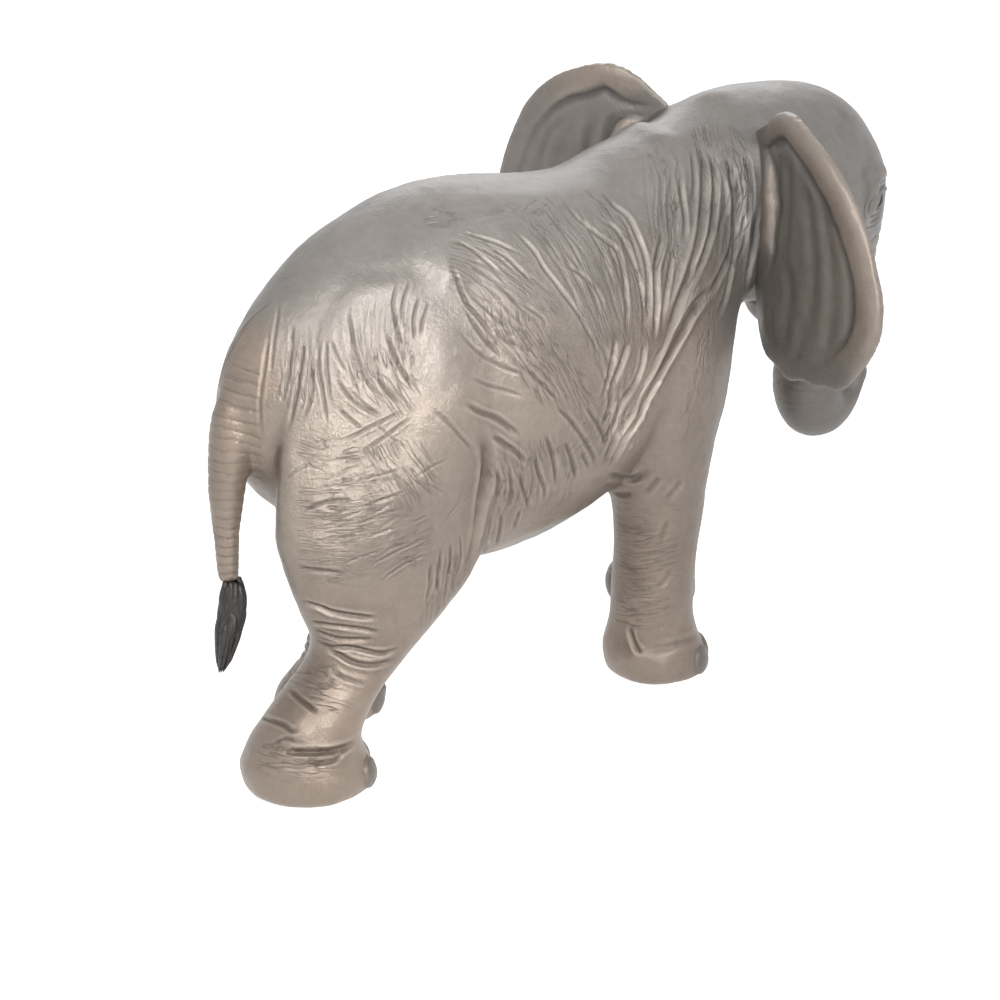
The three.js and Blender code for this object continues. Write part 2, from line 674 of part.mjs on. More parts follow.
// A plug square to a joint, from its forward piece back into the other
function jointPlug([lowEnd, highEnd], depth, radius) {
  const middle = new THREE.Vector3((lowEnd[0] + highEnd[0]) / 2, 0, (lowEnd[1] + highEnd[1]) / 2);
  const normal = jointNormal([lowEnd, highEnd]);
  const from = middle.clone().addScaledVector(normal, overrun);
  const to = middle.clone().addScaledVector(normal, -depth);
  return [from.toArray(), to.toArray(), radius];
}

function ball([x, y, z], radius) {
  return solidOf(new THREE.SphereGeometry(radius, eyeSides, eyeSides / 2).translate(x, y, z));
}

// Toenails round the front of a foot
function nails(leg) {
  const footX = leg.topX + stride * leg.shares[0][leg.side < 0 ? 1 : 2];
  const reach = leg.footRadius - nailHalfDepth * nailSinkShare;
  const made = leg.nailAngles.map((degrees) => {
    const angle = THREE.MathUtils.degToRad(degrees);
    const geometry = new THREE.SphereGeometry(1, nailSides, nailSides / 2);
    geometry.scale(nailHalfDepth, nailHalfWidth, nailHalfHeight);
    geometry.rotateZ(angle);
    geometry.translate(footX + reach * Math.cos(angle), leg.footY + reach * Math.sin(angle), nailLevel);
    return solidOf(geometry);
  });
  return wasm.Manifold.union(made);
}

// A point of an ear's sheet, lifted forward from its middle face
function earPoint(ear, [outShare, upShare], lift) {
  const turn = THREE.MathUtils.degToRad(ear.droop);
  const out = ear.reach * outShare;
  const up = earRise * upShare;
  const y = earRootY + out * Math.cos(turn) + up * Math.sin(turn);
  const z = earRootZ + up * Math.cos(turn) - out * Math.sin(turn);
  const bow = earCup * Math.sin(Math.PI * Math.min(1, Math.max(0, outShare)));
  return new THREE.Vector3(earRootX - earSweep * outShare - bow + lift, ear.side * y, z);
}

// An ear: front and back faces of rings drawn out from the middle, joined round the edge
function earLoft(ear, grow) {
  const outline = refined([...earOutlineShares, earOutlineShares[0]], 2).slice(0, -1);
  const face = (way) => {
    const points = [earPoint(ear, earMiddleShares, way * (earThickness / 2 + grow))];
    for (let ring = 1; ring <= earRings; ring++) {
      const t = ring / earRings;
      const thin = ring === earRings ? earEdgeShare : 1;
      const thickness = THREE.MathUtils.lerp(earThickness, earRimThickness, t) * thin;
      for (const rim of outline) {
        const at = rim.map((share, axis) => THREE.MathUtils.lerp(earMiddleShares[axis], share, t));
        points.push(earPoint(ear, at, way * (thickness / 2 + grow)));
      }
    }
    return points;
  };
  const front = face(1);
  const back = face(-1);
  const count = outline.length;
  const base = front.length;
  const at = (ring, k) => 1 + (ring - 1) * count + (k % count);
  const faces = [];
  const both = (a, b, c) => faces.push(a, b, c, base + a, base + c, base + b);
  for (let k = 0; k < count; k++) {
    both(0, at(1, k + 1), at(1, k));
    for (let ring = 1; ring < earRings; ring++) {
      both(at(ring, k), at(ring, k + 1), at(ring + 1, k + 1));
      both(at(ring, k), at(ring + 1, k + 1), at(ring + 1, k));
    }
    const a = at(earRings, k);
    const b = at(earRings, k + 1);
    faces.push(a, b, base + b, a, base + b, base + a);
  }
  const geometry = new THREE.BufferGeometry().setFromPoints([...front, ...back]);
  geometry.setIndex(faces);
  return solidOf(geometry);
}

const hind = {
  shares: hindLegShares,
  topX: alongSpine(hipAlongShare),
  height: upSpine(hipUpShare),
  stance: hindStance,
  radius: hindFootRadius,
  inset: hindInset,
  webHalf: hindWebHalf,
  webLow: upSpine(hindWebLowShare),
  nailAngles: hindNailAngles,
  folds: hindLegFolds,
};
const front = {
  shares: frontLegShares,
  topX: alongSpine(shoulderAlongShare),
  height: upSpine(shoulderUpShare),
  stance: frontStance,
  radius: frontFootRadius,
  inset: frontInset,
  webHalf: frontWebHalf,
  webLow: upSpine(frontWebLowShare),
  nailAngles: frontNailAngles,
  folds: frontLegFolds,
};
const legs = [
  { name: "right_front_leg", side: -1, girth: 1, ...front },
  { name: "left_front_leg", side: 1, girth: leftGirthShare, ...front },
  { name: "right_hind_leg", side: -1, girth: 1, ...hind },
  { name: "left_hind_leg", side: 1, girth: leftGirthShare, ...hind },
].map((leg) => ({
  ...leg,
  y: leg.side * leg.stance,
  footY: leg.side * (leg.stance - (leg.side > 0 ? leg.inset : 0)),
  inset: leg.side > 0 ? leg.inset : 0,
  footRadius: leg.radius * leg.girth,
}));
const ears = [
  { name: "right_ear", side: -1, droop: rightEarDroop, reach: rightEarReach },
  { name: "left_ear", side: 1, droop: leftEarDroop, reach: leftEarReach },
];

const folds = wasm.Manifold.union([
  ...[-1, 1].flatMap((side) => flankFolds.map((fold) => flankGroove(fold, side))),
  ...legs.flatMap((leg) => leg.folds.map((fold) => legGroove(leg, fold))),
]);

const spine = spineLoft(0);
const grownSpine = spineLoft(seamGap);
const room = legRoom();

// The same plug drawn a little larger and deeper, which cuts its socket
function socket([from, to, radius]) {
  const start = new THREE.Vector3(...from);
  const end = new THREE.Vector3(...to);
  const way = end.clone().sub(start).setLength(plugClearance);
  return rod(from, end.add(way).toArray(), radius + plugClearance);
}

// Plugs as [from, to, radius]
const neckPlug = jointPlug(neckSeam, neckPlugDepth, neckPlugRadius);
const trunkPlug = jointPlug(trunkSeam, trunkPlugDepth, trunkPlugRadius);
const fromTailRoot = ([forward, up]) => [tailRootX + forward, 0, tailRootZ + up];
const tailPlug = [fromTailRoot(tailPlugFrom), fromTailRoot(tailPlugTo), tailPlugRadius];
const jawPlugX = jawRear + jawLength * jawPlugAlongShare;
const jawPlugLow = [jawPlugX, 0, jawTop - jawDepth * jawPlugDownShare];
const jawPlug = [jawPlugLow, [jawPlugX, 0, jawTop + jawPlugRise], jawPlugRadius];
const tuftPlugTop = [tailEndX, 0, tailEndZ + tuftPlugDepth];
const tuftPlug = [[tailEndX, 0, tailEndZ - overrun], tuftPlugTop, tuftPlugRadius];
const earPin = (ear, up) => earPinEndShares.map((out) => earPoint(ear, [out, up], 0).toArray());
const earPins = (ear) => earPinUpShares.map((up) => [...earPin(ear, up), earPinRadius]);
const eyeSideSigns = [["right_eye", -1], ["left_eye", 1]];
const eyePlaces = eyeSideSigns.map(([name, side]) => [name, [eyeX, side * eyeY, eyeZ]]);

let body = spine.intersect(besides(neckSeam, false, seamGap));
for (const plug of [neckPlug, tailPlug]) body = body.subtract(socket(plug));
for (const leg of legs) body = body.subtract(legLoft(leg, seamGap, true));
body = body.subtract(folds);

let head = spine.intersect(besides(neckSeam, true, 0)).intersect(besides(trunkSeam, false, seamGap));
head = head.add(rod(...neckPlug)).subtract(socket(trunkPlug)).subtract(socket(jawPlug));
for (const plug of ears.flatMap(earPins)) head = head.subtract(socket(plug));
for (const [, place] of eyePlaces) head = head.subtract(ball(place, eyeRadius + seamGap));
head = head.subtract(folds);

const trunk = spine.intersect(besides(trunkSeam, true, 0)).add(rod(...trunkPlug));
const jaw = jawLoft(0).subtract(grownSpine).add(rod(...jawPlug));
const tail = pathLoft(tailPath, 0).subtract(grownSpine).add(rod(...tailPlug)).subtract(socket(tuftPlug));

const parts = new THREE.Group();
const add = (name, solid, material) => parts.add(meshOf(name, solid, material));

add("body", body, skin);
add("head", head, skin);
add("trunk", trunk, skin);
add("lower_jaw", jaw, skin);
for (const ear of ears) {
  const pins = earPins(ear).map((pin) => rod(...pin));
  add(ear.name, earLoft(ear, 0).subtract(grownSpine).add(wasm.Manifold.union(pins)), skin);
}
for (const [name, place] of eyePlaces) add(name, ball(place, eyeRadius), eyeGloss);
for (const leg of legs) {
  add(leg.name, legLoft(leg, 0, false).intersect(room).subtract(folds).add(nails(leg)), skin);
}
add("tail", tail, skin);
add("tail_tuft", pathLoft(tuftPath, 0).add(rod(...tuftPlug)), tuftSkin);

// The origin is moved under the middle of the figure, with the soles at z = 0
const bounds = new THREE.Box3().setFromObject(parts);
const centre = bounds.getCenter(new THREE.Vector3());
for (const mesh of parts.children) mesh.geometry.translate(-centre.x, -centre.y, -bounds.min.z);

export default parts;
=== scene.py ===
"""Looks of a moulded toy elephant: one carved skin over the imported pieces, painted and lit."""

import math
import random

import bpy
import numpy as np
import openvdb
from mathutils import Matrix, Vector
from mathutils.bvhtree import BVHTree


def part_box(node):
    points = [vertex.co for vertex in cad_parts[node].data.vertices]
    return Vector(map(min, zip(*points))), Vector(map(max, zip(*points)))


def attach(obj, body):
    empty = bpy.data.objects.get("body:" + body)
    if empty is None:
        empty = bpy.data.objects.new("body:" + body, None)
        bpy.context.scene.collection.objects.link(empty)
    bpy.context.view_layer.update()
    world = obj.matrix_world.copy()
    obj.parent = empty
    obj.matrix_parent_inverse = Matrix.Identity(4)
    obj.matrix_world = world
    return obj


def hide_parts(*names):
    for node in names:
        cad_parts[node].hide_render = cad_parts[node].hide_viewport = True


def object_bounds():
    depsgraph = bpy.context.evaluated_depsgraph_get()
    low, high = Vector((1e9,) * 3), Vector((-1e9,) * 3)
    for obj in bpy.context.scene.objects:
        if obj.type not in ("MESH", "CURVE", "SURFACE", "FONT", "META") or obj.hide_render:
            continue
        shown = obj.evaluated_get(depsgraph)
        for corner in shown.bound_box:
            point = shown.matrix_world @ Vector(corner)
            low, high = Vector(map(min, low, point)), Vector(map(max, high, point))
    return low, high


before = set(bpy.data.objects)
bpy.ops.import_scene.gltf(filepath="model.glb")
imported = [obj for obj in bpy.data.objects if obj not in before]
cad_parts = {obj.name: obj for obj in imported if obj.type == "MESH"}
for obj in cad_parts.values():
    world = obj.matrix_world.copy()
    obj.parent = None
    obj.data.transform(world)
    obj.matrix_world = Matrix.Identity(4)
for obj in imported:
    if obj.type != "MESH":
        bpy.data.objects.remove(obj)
CAD_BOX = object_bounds()
MM = 0.001

# Camera: the photograph's viewing angle, in millimetres of the part's frame
CAMERA_AZIMUTH = -40.0
CAMERA_ELEVATION = 20.0
CAMERA_DISTANCE = 455.0
CAMERA_TARGET = (-41.05, -30.94, 50.0)
LENS = 100.0
SENSOR = 36.0
PHOTO_SIDE = 1000.0  # pixels of the photograph's frame, in which strokes are placed

# Lamps: (name, place, aim, side, power, colour, spread) in metres, watts and degrees
WARM_WHITE = (1.0, 0.97, 0.93)
COOL_WHITE = (0.95, 0.97, 1.0)
LAMPS = [
    ("key", (-0.38, -0.22, 0.48), (-0.04, -0.02, 0.07), 0.22, 1.4, WARM_WHITE, 180.0),
    ("side", (-0.13, -0.42, 0.26), (-0.075, -0.03, 0.095), 0.14, 0.10, WARM_WHITE, 38.0),
    ("fill", (0.45, 0.5, 0.5), (0.0, 0.0, 0.05), 0.5, 1.3, COOL_WHITE, 180.0),
    ("front", (0.05, -0.45, 0.32), (0.02, -0.03, 0.085), 0.3, 0.09, WARM_WHITE, 60.0),
]
WORLD_LIGHT = 0.10  # of the white surroundings, on what isn't background
FLOOR_GLOW = 0.9  # of the lit floor where it is background, so that it looks white
FLOOR_GREY = 0.8
FLOOR_SIDE = 20.0

# Paint: linear colours, and the sizes of its detail
TAUPE = (0.262, 0.222, 0.190)
BLUE_GREY = (0.232, 0.222, 0.215)
BROWN = (0.262, 0.210, 0.172)
# The crease colour is painted shade, in creases and along the fine lines of the folds; the pale colour is
# painted highlight on ridges and on the ear's rolled rim, and also makes small pale specks
CREASE_SHADE = (0.060, 0.048, 0.041)
PALE = (0.42, 0.37, 0.33)
NAIL = (0.115, 0.105, 0.10)
# How strongly the painted highlight on ridges, the pale specks, the painted shade, the painted shade of the
# fine lines and the nail colour are mixed in
RIDGE_HIGHLIGHT_COVER, SPECK_COVER, SHADE_COVER, LINE_SHADE_COVER, NAIL_COVER = 0.45, 0.12, 0.55, 0.5, 0.75
UNEVEN_LIGHT = 0.09  # share by which mottle and grain change the colour
METALLIC = 0.3
ROUGHNESS = (0.28, 0.38)
MOTTLE_SIZE = 16 * MM
GRAIN_SIZE = 1.6 * MM
SPECK_SIZE = 0.7 * MM
LINES_APART = 0.8 * MM
LINE_LENGTH = 6 * MM
TUFT_DARK, TUFT_LIGHT = (0.012, 0.011, 0.011), (0.045, 0.040, 0.037)
EYE_DARK, EYE_LIGHT = (0.006, 0.004, 0.003), (0.028, 0.014, 0.008)

# Skin volume
VOXEL = 0.64 * MM
BAND = 5.0 * MM  # how far distances are known on both sides of a surface
MARGIN = 4.0 * MM
SEAM_FILL = 0.15 * MM  # half of the gap between two CAD pieces
SKIN_NODES = [
    "body", "head", "trunk", "lower_jaw", "tail",
    "right_front_leg", "left_front_leg", "right_hind_leg", "left_hind_leg",
]


# Camera and the rays through its pixels

def camera_axes():
    """Unit vectors of the view: back towards the camera, right and up."""
    azimuth, elevation = math.radians(CAMERA_AZIMUTH), math.radians(CAMERA_ELEVATION)
    flat = math.cos(elevation)
    back = Vector((math.sin(azimuth) * flat, -math.cos(azimuth) * flat, math.sin(elevation)))
    right = Vector((math.cos(azimuth), math.sin(azimuth), 0.0))
    return back, right, back.cross(right)


def make_camera():
    back, _, _ = camera_axes()
    data = bpy.data.cameras.new("camera")
    data.lens, data.sensor_width = LENS, SENSOR
    data.clip_start, data.clip_end = 0.01, 10.0
    camera = bpy.data.objects.new("camera", data)
    camera.rotation_mode = "QUATERNION"
    camera.location = (Vector(CAMERA_TARGET) + back * CAMERA_DISTANCE) * MM
    camera.rotation_quaternion = back.to_track_quat("Z", "Y")
    bpy.context.scene.collection.objects.link(camera)
    bpy.context.scene.camera = camera
    return camera


def pixel_ray(x, y):
    """Origin and direction, in metres, of the line of sight through a pixel of the photograph."""
    back, right, up = camera_axes()
    origin = (Vector(CAMERA_TARGET) + back * CAMERA_DISTANCE) * MM
    step = SENSOR / LENS / PHOTO_SIDE
    half = PHOTO_SIDE / 2
    way = right * ((x - half) * step) - up * ((y - half) * step) - back
    return origin, way.normalized()


# Volumes: distances to the CAD pieces on one grid

def mesh_arrays(obj):
    mesh = obj.data
    mesh.calc_loop_triangles()
    points = np.empty(len(mesh.vertices) * 3, np.float32)
    mesh.vertices.foreach_get("co", points)
    faces = np.empty(len(mesh.loop_triangles) * 3, np.int32)
    mesh.loop_triangles.foreach_get("vertices", faces)
    return points.reshape(-1, 3), faces.reshape(-1, 3).astype(np.uint32)


class Grid:
    """A box of voxels round some CAD nodes."""

    def __init__(self, names, voxel):
        boxes = [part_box(name) for name in names]
        low = np.min([b[0] for b in boxes], axis=0) - MARGIN
        high = np.max([b[1] for b in boxes], axis=0) + MARGIN
        self.voxel = voxel
        self.first = np.floor(low / voxel).astype(int)
        self.shape = tuple(np.ceil(high / voxel).astype(int) - self.first + 1)
        self.transform = openvdb.createLinearTransform(voxelSize=voxel)

    def distances(self, name):
        """Signed distance to a CAD node at each voxel, in metres, cut off at BAND."""
        points, faces = mesh_arrays(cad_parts[name])
        level = openvdb.FloatGrid.createLevelSetFromPolygons(
            points, triangles=faces, transform=self.transform, halfWidth=BAND / self.voxel)
        made = np.empty(self.shape, np.float32)
        level.copyToArray(made, ijk=tuple(int(v) for v in self.first))
        return made

    def places(self, axis):
        """Coordinates of the voxels along one axis, shaped to spread over the grid."""
        line = (self.first[axis] + np.arange(self.shape[axis])) * self.voxel
        shape = [1, 1, 1]
        shape[axis] = -1
        return line.reshape(shape)

    def surface(self, field):
        """The field's zero surface, without closed-in hollows."""
        level = openvdb.FloatGrid(float(field.max()))
        level.copyFromArray(field, ijk=tuple(int(v) for v in self.first))
        level.transform = self.transform
        points, _, quads = level.convertToPolygons(0.0, 0.0)
        return Surface(*largest_island(points.astype(float), quads.astype(np.int64)))

    def sample(self, field, points):
        """The field at points, between its voxels."""
        at = points / self.voxel - self.first
        at = np.clip(at, 0, np.array(self.shape) - 1.001)
        low = at.astype(int)
        part = at - low
        made = np.zeros(len(points))
        for corner in range(8):
            step = np.array([corner & 1, corner >> 1 & 1, corner >> 2 & 1])
            weight = np.prod(np.where(step, part, 1 - part), axis=1)
            index = low + step
            made += weight * field[index[:, 0], index[:, 1], index[:, 2]]
        return made


def smooth(field, radius, voxel):
    """A Gaussian blur of a voxel field, one axis after the other."""
    spread = radius / voxel
    reach = int(math.ceil(3 * spread))
    weights = np.exp(-0.5 * (np.arange(-reach, reach + 1) / spread) ** 2)
    weights /= weights.sum()
    for axis in range(3):
        padded = np.pad(field, [(reach, reach) if a == axis else (0, 0) for a in range(3)], "edge")
        length = field.shape[axis]
        made = np.zeros_like(field)
        for k, weight in enumerate(weights):
            cut = [slice(None)] * 3
            cut[axis] = slice(k, k + length)
            made += np.float32(weight) * padded[tuple(cut)]
        field = made
    return field


# Meshes as arrays

class Surface:
    """Points and quads, with the sums that carving needs."""

    def __init__(self, points, quads):
        self.points, self.quads = points, quads
        sides = np.concatenate([quads[:, [k, (k + 1) % 4]] for k in range(4)])
        sides.sort(axis=1)
        self.edges = np.unique(sides, axis=0)
        self.degree = np.bincount(self.edges.ravel(), minlength=len(points)).astype(float)

    def normals(self):
        p = self.points[self.quads]
        face = np.cross(p[:, 2] - p[:, 0], p[:, 3] - p[:, 1])
        made = np.zeros_like(self.points)
        for axis in range(3):
            for k in range(4):
                made[:, axis] += np.bincount(self.quads[:, k], face[:, axis], len(self.points))
        return made / np.maximum(np.linalg.norm(made, axis=1, keepdims=True), 1e-12)

    def averaged(self, values, rounds):
        """Values spread to their neighbours, a few rounds."""
        a, b = self.edges.T
        count = len(self.points)
        values = np.array(values, float)
        flat = values.reshape(count, -1)
        for _ in range(rounds):
            total = np.empty_like(flat)
            for column in range(flat.shape[1]):
                line = flat[:, column]
                total[:, column] = np.bincount(a, line[b], count) + np.bincount(b, line[a], count)
            flat = flat + (total / self.degree[:, None] - flat) / 2
        return flat.reshape(values.shape)

    def subdivided(self):
        """Each quad split in four, with its points on a smooth surface."""
        points, quads, count = self.points, self.quads, len(self.points)
        centres = points[quads].mean(axis=1)
        sides = np.stack([quads, np.roll(quads, -1, axis=1)], axis=2).reshape(-1, 2)
        sides.sort(axis=1)
        edges, which = np.unique(sides, axis=0, return_inverse=True)
        which = which.reshape(-1, 4)
        sums, uses = np.zeros((len(edges), 3)), np.bincount(which.ravel(), minlength=len(edges))
        for axis in range(3):
            sums[:, axis] = np.bincount(which.ravel(), np.repeat(centres[:, axis], 4), len(edges))
        middles = points[edges].mean(axis=1)
        edge_points = (middles + sums / uses[:, None]) / 2
        valence = np.bincount(edges.ravel(), minlength=count).astype(float)[:, None]
        near, faces = np.zeros((count, 3)), np.zeros((count, 3))
        for axis in range(3):
            for k in range(2):
                near[:, axis] += np.bincount(edges[:, k], middles[:, axis], count)
            for k in range(4):
                faces[:, axis] += np.bincount(quads[:, k], centres[:, axis], count)
        valence = np.maximum(valence, 1)
        kept = (faces / valence + 2 * near / valence + (valence - 3) * points) / valence
        face_index = count + len(edges) + np.arange(len(quads))
        made = [np.stack([quads[:, k], count + which[:, k], face_index, count + which[:, k - 1]], axis=1)
                for k in range(4)]
        return Surface(np.concatenate([kept, edge_points, centres]), np.concatenate(made))

    def tree(self):
        faces = np.concatenate([self.quads[:, [0, 1, 2]], self.quads[:, [0, 2, 3]]])
        return BVHTree.FromPolygons(self.points.tolist(), faces.tolist())


def largest_island(points, quads):
    """The points and quads of the connected part with the most points."""
    label = np.arange(len(points))
    sides = np.concatenate([quads[:, [k, (k + 1) % 4]] for k in range(4)])
    while True:
        low = np.minimum(label[sides[:, 0]], label[sides[:, 1]])
        new = label.copy()
        np.minimum.at(new, sides[:, 0], low)
        np.minimum.at(new, sides[:, 1], low)
        new = new[new]
        if (new == label).all():
            break
        label = new
    names, counts = np.unique(label, return_counts=True)
    kept = label == names[counts.argmax()]
    index = np.cumsum(kept) - 1
    chosen = kept[quads[:, 0]]
    return points[kept], index[quads[chosen]]


def ramp(value, start, end):
    """0 before start, 1 past end, and smooth between."""
    t = np.clip((value - start) / (end - start), 0, 1)
    return t * t * (3 - 2 * t)


def rise(value, span):
    """0 before a span of millimetres and 1 past it, for a value in metres."""
    return ramp(value, span[0] * MM, span[1] * MM)


def fall(value, span):
    return 1 - rise(value, span)


# The skin: body, head, trunk, legs and tail in one

EAR_ROOT = 8 * MM  # of an ear's width that the skin takes in, from its inner side
EAR_FADE = 0.22  # how fast the ear thins past that
EAR_WELD = 0.7 * MM  # how much the ear's root is thickened
ROOT_BLUR = 2.2 * MM
FINE_BLUR = 0.5 * MM
BROAD_BLUR = 1.2 * MM
FLANK_BLUR = 2.6 * MM
TAIL_FRONT = (-4.0, 2.0)  # from the front of the tail's node; like the rest, a fade in millimetres
TAIL_TOP = (62.0, 70.0)
TAIL_SIDE = (5.0, 8.0)
FLANK_LOW = (50.0, 62.0)
FLANK_FRONT = (24.0, 32.0)
FLANK_SIDE = (8.0, 14.0)
ROOT_BEHIND = (-8.0, 0.0)  # from the back of the ear's node
ROOT_BEFORE = (0.0, 8.0)  # from its front
ROOT_LOW = (58.0, 66.0)
ROOT_INNER = (6.0, 10.0)
ROOT_OUTER = (20.0, 25.0)


def skin_volume():
    grid = Grid(SKIN_NODES + ["right_eye", "left_eye"], VOXEL)
    fields = {name: grid.distances(name) for name in SKIN_NODES}
    union = np.minimum.reduce(list(fields.values()))
    for name in ("right_eye", "left_eye"):
        union = np.minimum(union, grid.distances(name))
    for name in ("right_ear", "left_ear"):
        low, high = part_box(name)
        root = min(abs(low.y), abs(high.y)) + EAR_ROOT
        fade = EAR_FADE * np.maximum(np.abs(grid.places(1)) - root, 0) - EAR_WELD
        union = np.minimum(union, grid.distances(name) + fade.astype(np.float32))
    union -= SEAM_FILL
    x, y, z = (grid.places(axis) for axis in range(3))
    y = np.abs(y)
    thin = fall(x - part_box("tail")[1].x, TAIL_FRONT) * fall(z, TAIL_TOP) * fall(y, TAIL_SIDE)
    flank = rise(z, FLANK_LOW) * fall(x, FLANK_FRONT) * rise(y, FLANK_SIDE)
    ear_low, ear_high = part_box("right_ear")
    root = rise(x - ear_low.x, ROOT_BEHIND) * fall(x - ear_high.x, ROOT_BEFORE) * rise(z, ROOT_LOW)
    root = root * rise(y, ROOT_INNER) * fall(y, ROOT_OUTER)
    broad = smooth(union, BROAD_BLUR, VOXEL)
    broad = broad + (smooth(broad, ROOT_BLUR, VOXEL) - broad) * root.astype(np.float32)
    field = broad + (smooth(broad, FLANK_BLUR, VOXEL) - broad) * flank.astype(np.float32)
    field = field + (smooth(union, FINE_BLUR, VOXEL) - field) * thin.astype(np.float32)
    return grid, fields, field


def make_skin():
    grid, fields, field = skin_volume()
    skin = grid.surface(field)
    skin.points = skin.averaged(skin.points, 2)
    return grid, fields, skin.subdivided()


# Noise that is the same in each run

def lattice(cells, seed):
    """A repeatable number from 0 to 1 for each whole-numbered cell."""
    x, y, z = (cells[:, k].astype(np.int64) for k in range(3))
    mixed = x * 73856093 ^ y * 19349663 ^ z * 83492791 ^ seed * 2654435761
    mixed = (mixed ^ (mixed >> 13)) * 1274126177 & 0xFFFFFFFF
    mixed = (mixed ^ (mixed >> 16)) * 2246822519 & 0xFFFFFFFF
    return (mixed ^ (mixed >> 15) & 0xFFFFFFFF) % 65536 / 65535.0


def noise(points, size, seed):
    """Smooth noise from -1 to 1, with features about as large as size."""
    at = points / size
    cell = np.floor(at)
    part = at - cell
    part = part * part * (3 - 2 * part)
    made = np.zeros(len(points))
    for corner in range(8):
        step = np.array([corner & 1, corner >> 1 & 1, corner >> 2 & 1])
        weight = np.prod(np.where(step, part, 1 - part), axis=1)
        made += weight * lattice(cell + step, seed)
    return made * 2 - 1


# Curves

def curve_through(points, count):
    """A smooth line of count points through a few, by their parameter."""
    rows = np.array(points, float)
    last = len(rows) - 1
    if last == 1:
        return rows[0] + (rows[1] - rows[0]) * np.linspace(0, 1, count)[:, None]
    place = np.linspace(0, last, count)
    index = np.minimum(place.astype(int), last - 1)
    t = (place - index)[:, None]
    a, b, c, d = (rows[np.clip(index + k, 0, last)] for k in (-1, 0, 1, 2))
    bend, twist = 2 * a - 5 * b + 4 * c - d, 3 * b - a - 3 * c + d
    return (2 * b + (c - a) * t + bend * t ** 2 + twist * t ** 3) / 2


# Carving: strokes drawn over the photograph's pixels, cast on the skin and mirrored to its other side

PATH_STEP = 3.0  # pixels between the places where a stroke is cast on the skin
STROKE_REACH = 3.2  # half widths of a stroke that its lips reach
SWELL_REACH = 2.4  # radii
FACING = 0.2  # least cosine between the skin's normal and the stroke's, so that thin forms keep two sides


class Carving:
    """Heights over a surface, gathered stroke by stroke and raised along its normals."""

    def __init__(self, surface):
        self.surface = surface
        self.points = surface.points
        self.normals = surface.normals()
        self.height = np.zeros(len(self.points))
        self.tree = surface.tree()

    def cast(self, x, y):
        origin, way = pixel_ray(x, y)
        place, normal, _, _ = self.tree.ray_cast(origin, way)
        return place, normal

    def path(self, pixels):
        """Points and normals on the skin under a line of pixels."""
        rows = np.array(pixels, float)
        length = np.linalg.norm(np.diff(rows, axis=0), axis=1).sum()
        line = curve_through(pixels, max(4, int(length / PATH_STEP)))
        found = [self.cast(x, y) for x, y in line]
        found = [hit for hit in found if hit[0] is not None]
        if len(found) < 3:
            return None
        return np.array([p for p, _ in found]), np.array([n for _, n in found])

    def snapped(self, points):
        """The nearest points of the skin, with its normals there."""
        found = [self.tree.find_nearest(Vector(p)) for p in points]
        return np.array([f[0] for f in found]), np.array([f[1] for f in found])

    def near(self, points, reach):
        low, high = points.min(axis=0) - reach, points.max(axis=0) + reach
        inside = (self.points > low).all(axis=1) & (self.points < high).all(axis=1)
        return np.flatnonzero(inside)

    def beside(self, line, ways, reach):
        """Skin points near a line: their index, distance and share along it."""
        index = self.near(line, reach)
        p = self.points[index]
        starts, steps = line[:-1], np.diff(line, axis=0)
        squared = np.maximum((steps ** 2).sum(axis=1), 1e-18)
        best = np.full(len(p), np.inf)
        share, facing = np.zeros(len(p)), np.zeros(len(p))
        lengths = np.concatenate([[0], np.cumsum(np.sqrt(squared))])
        for k in range(len(steps)):
            off = p - starts[k]
            t = np.clip(off @ steps[k] / squared[k], 0, 1)
            apart = off - t[:, None] * steps[k]
            squared_off = (apart ** 2).sum(axis=1)
            nearer = squared_off < best
            best[nearer] = squared_off[nearer]
            share[nearer] = ((lengths[k] + t * math.sqrt(squared[k])) / lengths[-1])[nearer]
            facing[nearer] = (self.normals[index] @ ways[k])[nearer]
        distance = np.sqrt(best)
        kept = (distance < reach) & (facing > FACING)
        return index[kept], distance[kept], share[kept]

    def stroke(self, line, ways, width, depth, lip=0.35, fade=0.25):
        """A groove of that half width and depth, with raised lips. A negative depth makes a ridge."""
        index, distance, share = self.beside(line, ways, STROKE_REACH * width)
        ends = ramp(share, 0, fade) * (1 - ramp(share, 1 - fade, 1))
        d = distance / width
        groove = -np.exp(-d * d * 1.4)
        lips = lip * np.exp(-((d - 1.5) ** 2) * 2.2)
        self.height[index] += depth * ends * (groove + lips)

    def swell(self, place, radius, height):
        """A rounded rise, or a hollow if height is negative."""
        place = np.array(place, float)
        index = self.near(place[None], SWELL_REACH * radius)
        d = np.linalg.norm(self.points[index] - place, axis=1) / radius
        self.height[index] += height * np.exp(-d ** 2)

    def apply(self):
        """Sets the surface's points out by their heights."""
        self.surface.points = self.points + self.normals * self.height[:, None]


# The other side: a point of the right side set over to the left one

LEG_LEVELS = np.arange(0.0, 0.086, 0.002)  # heights at which both legs of a pair are measured
LEVEL_REACH = 0.0045  # above and below a level
LEAST_POINTS = 4


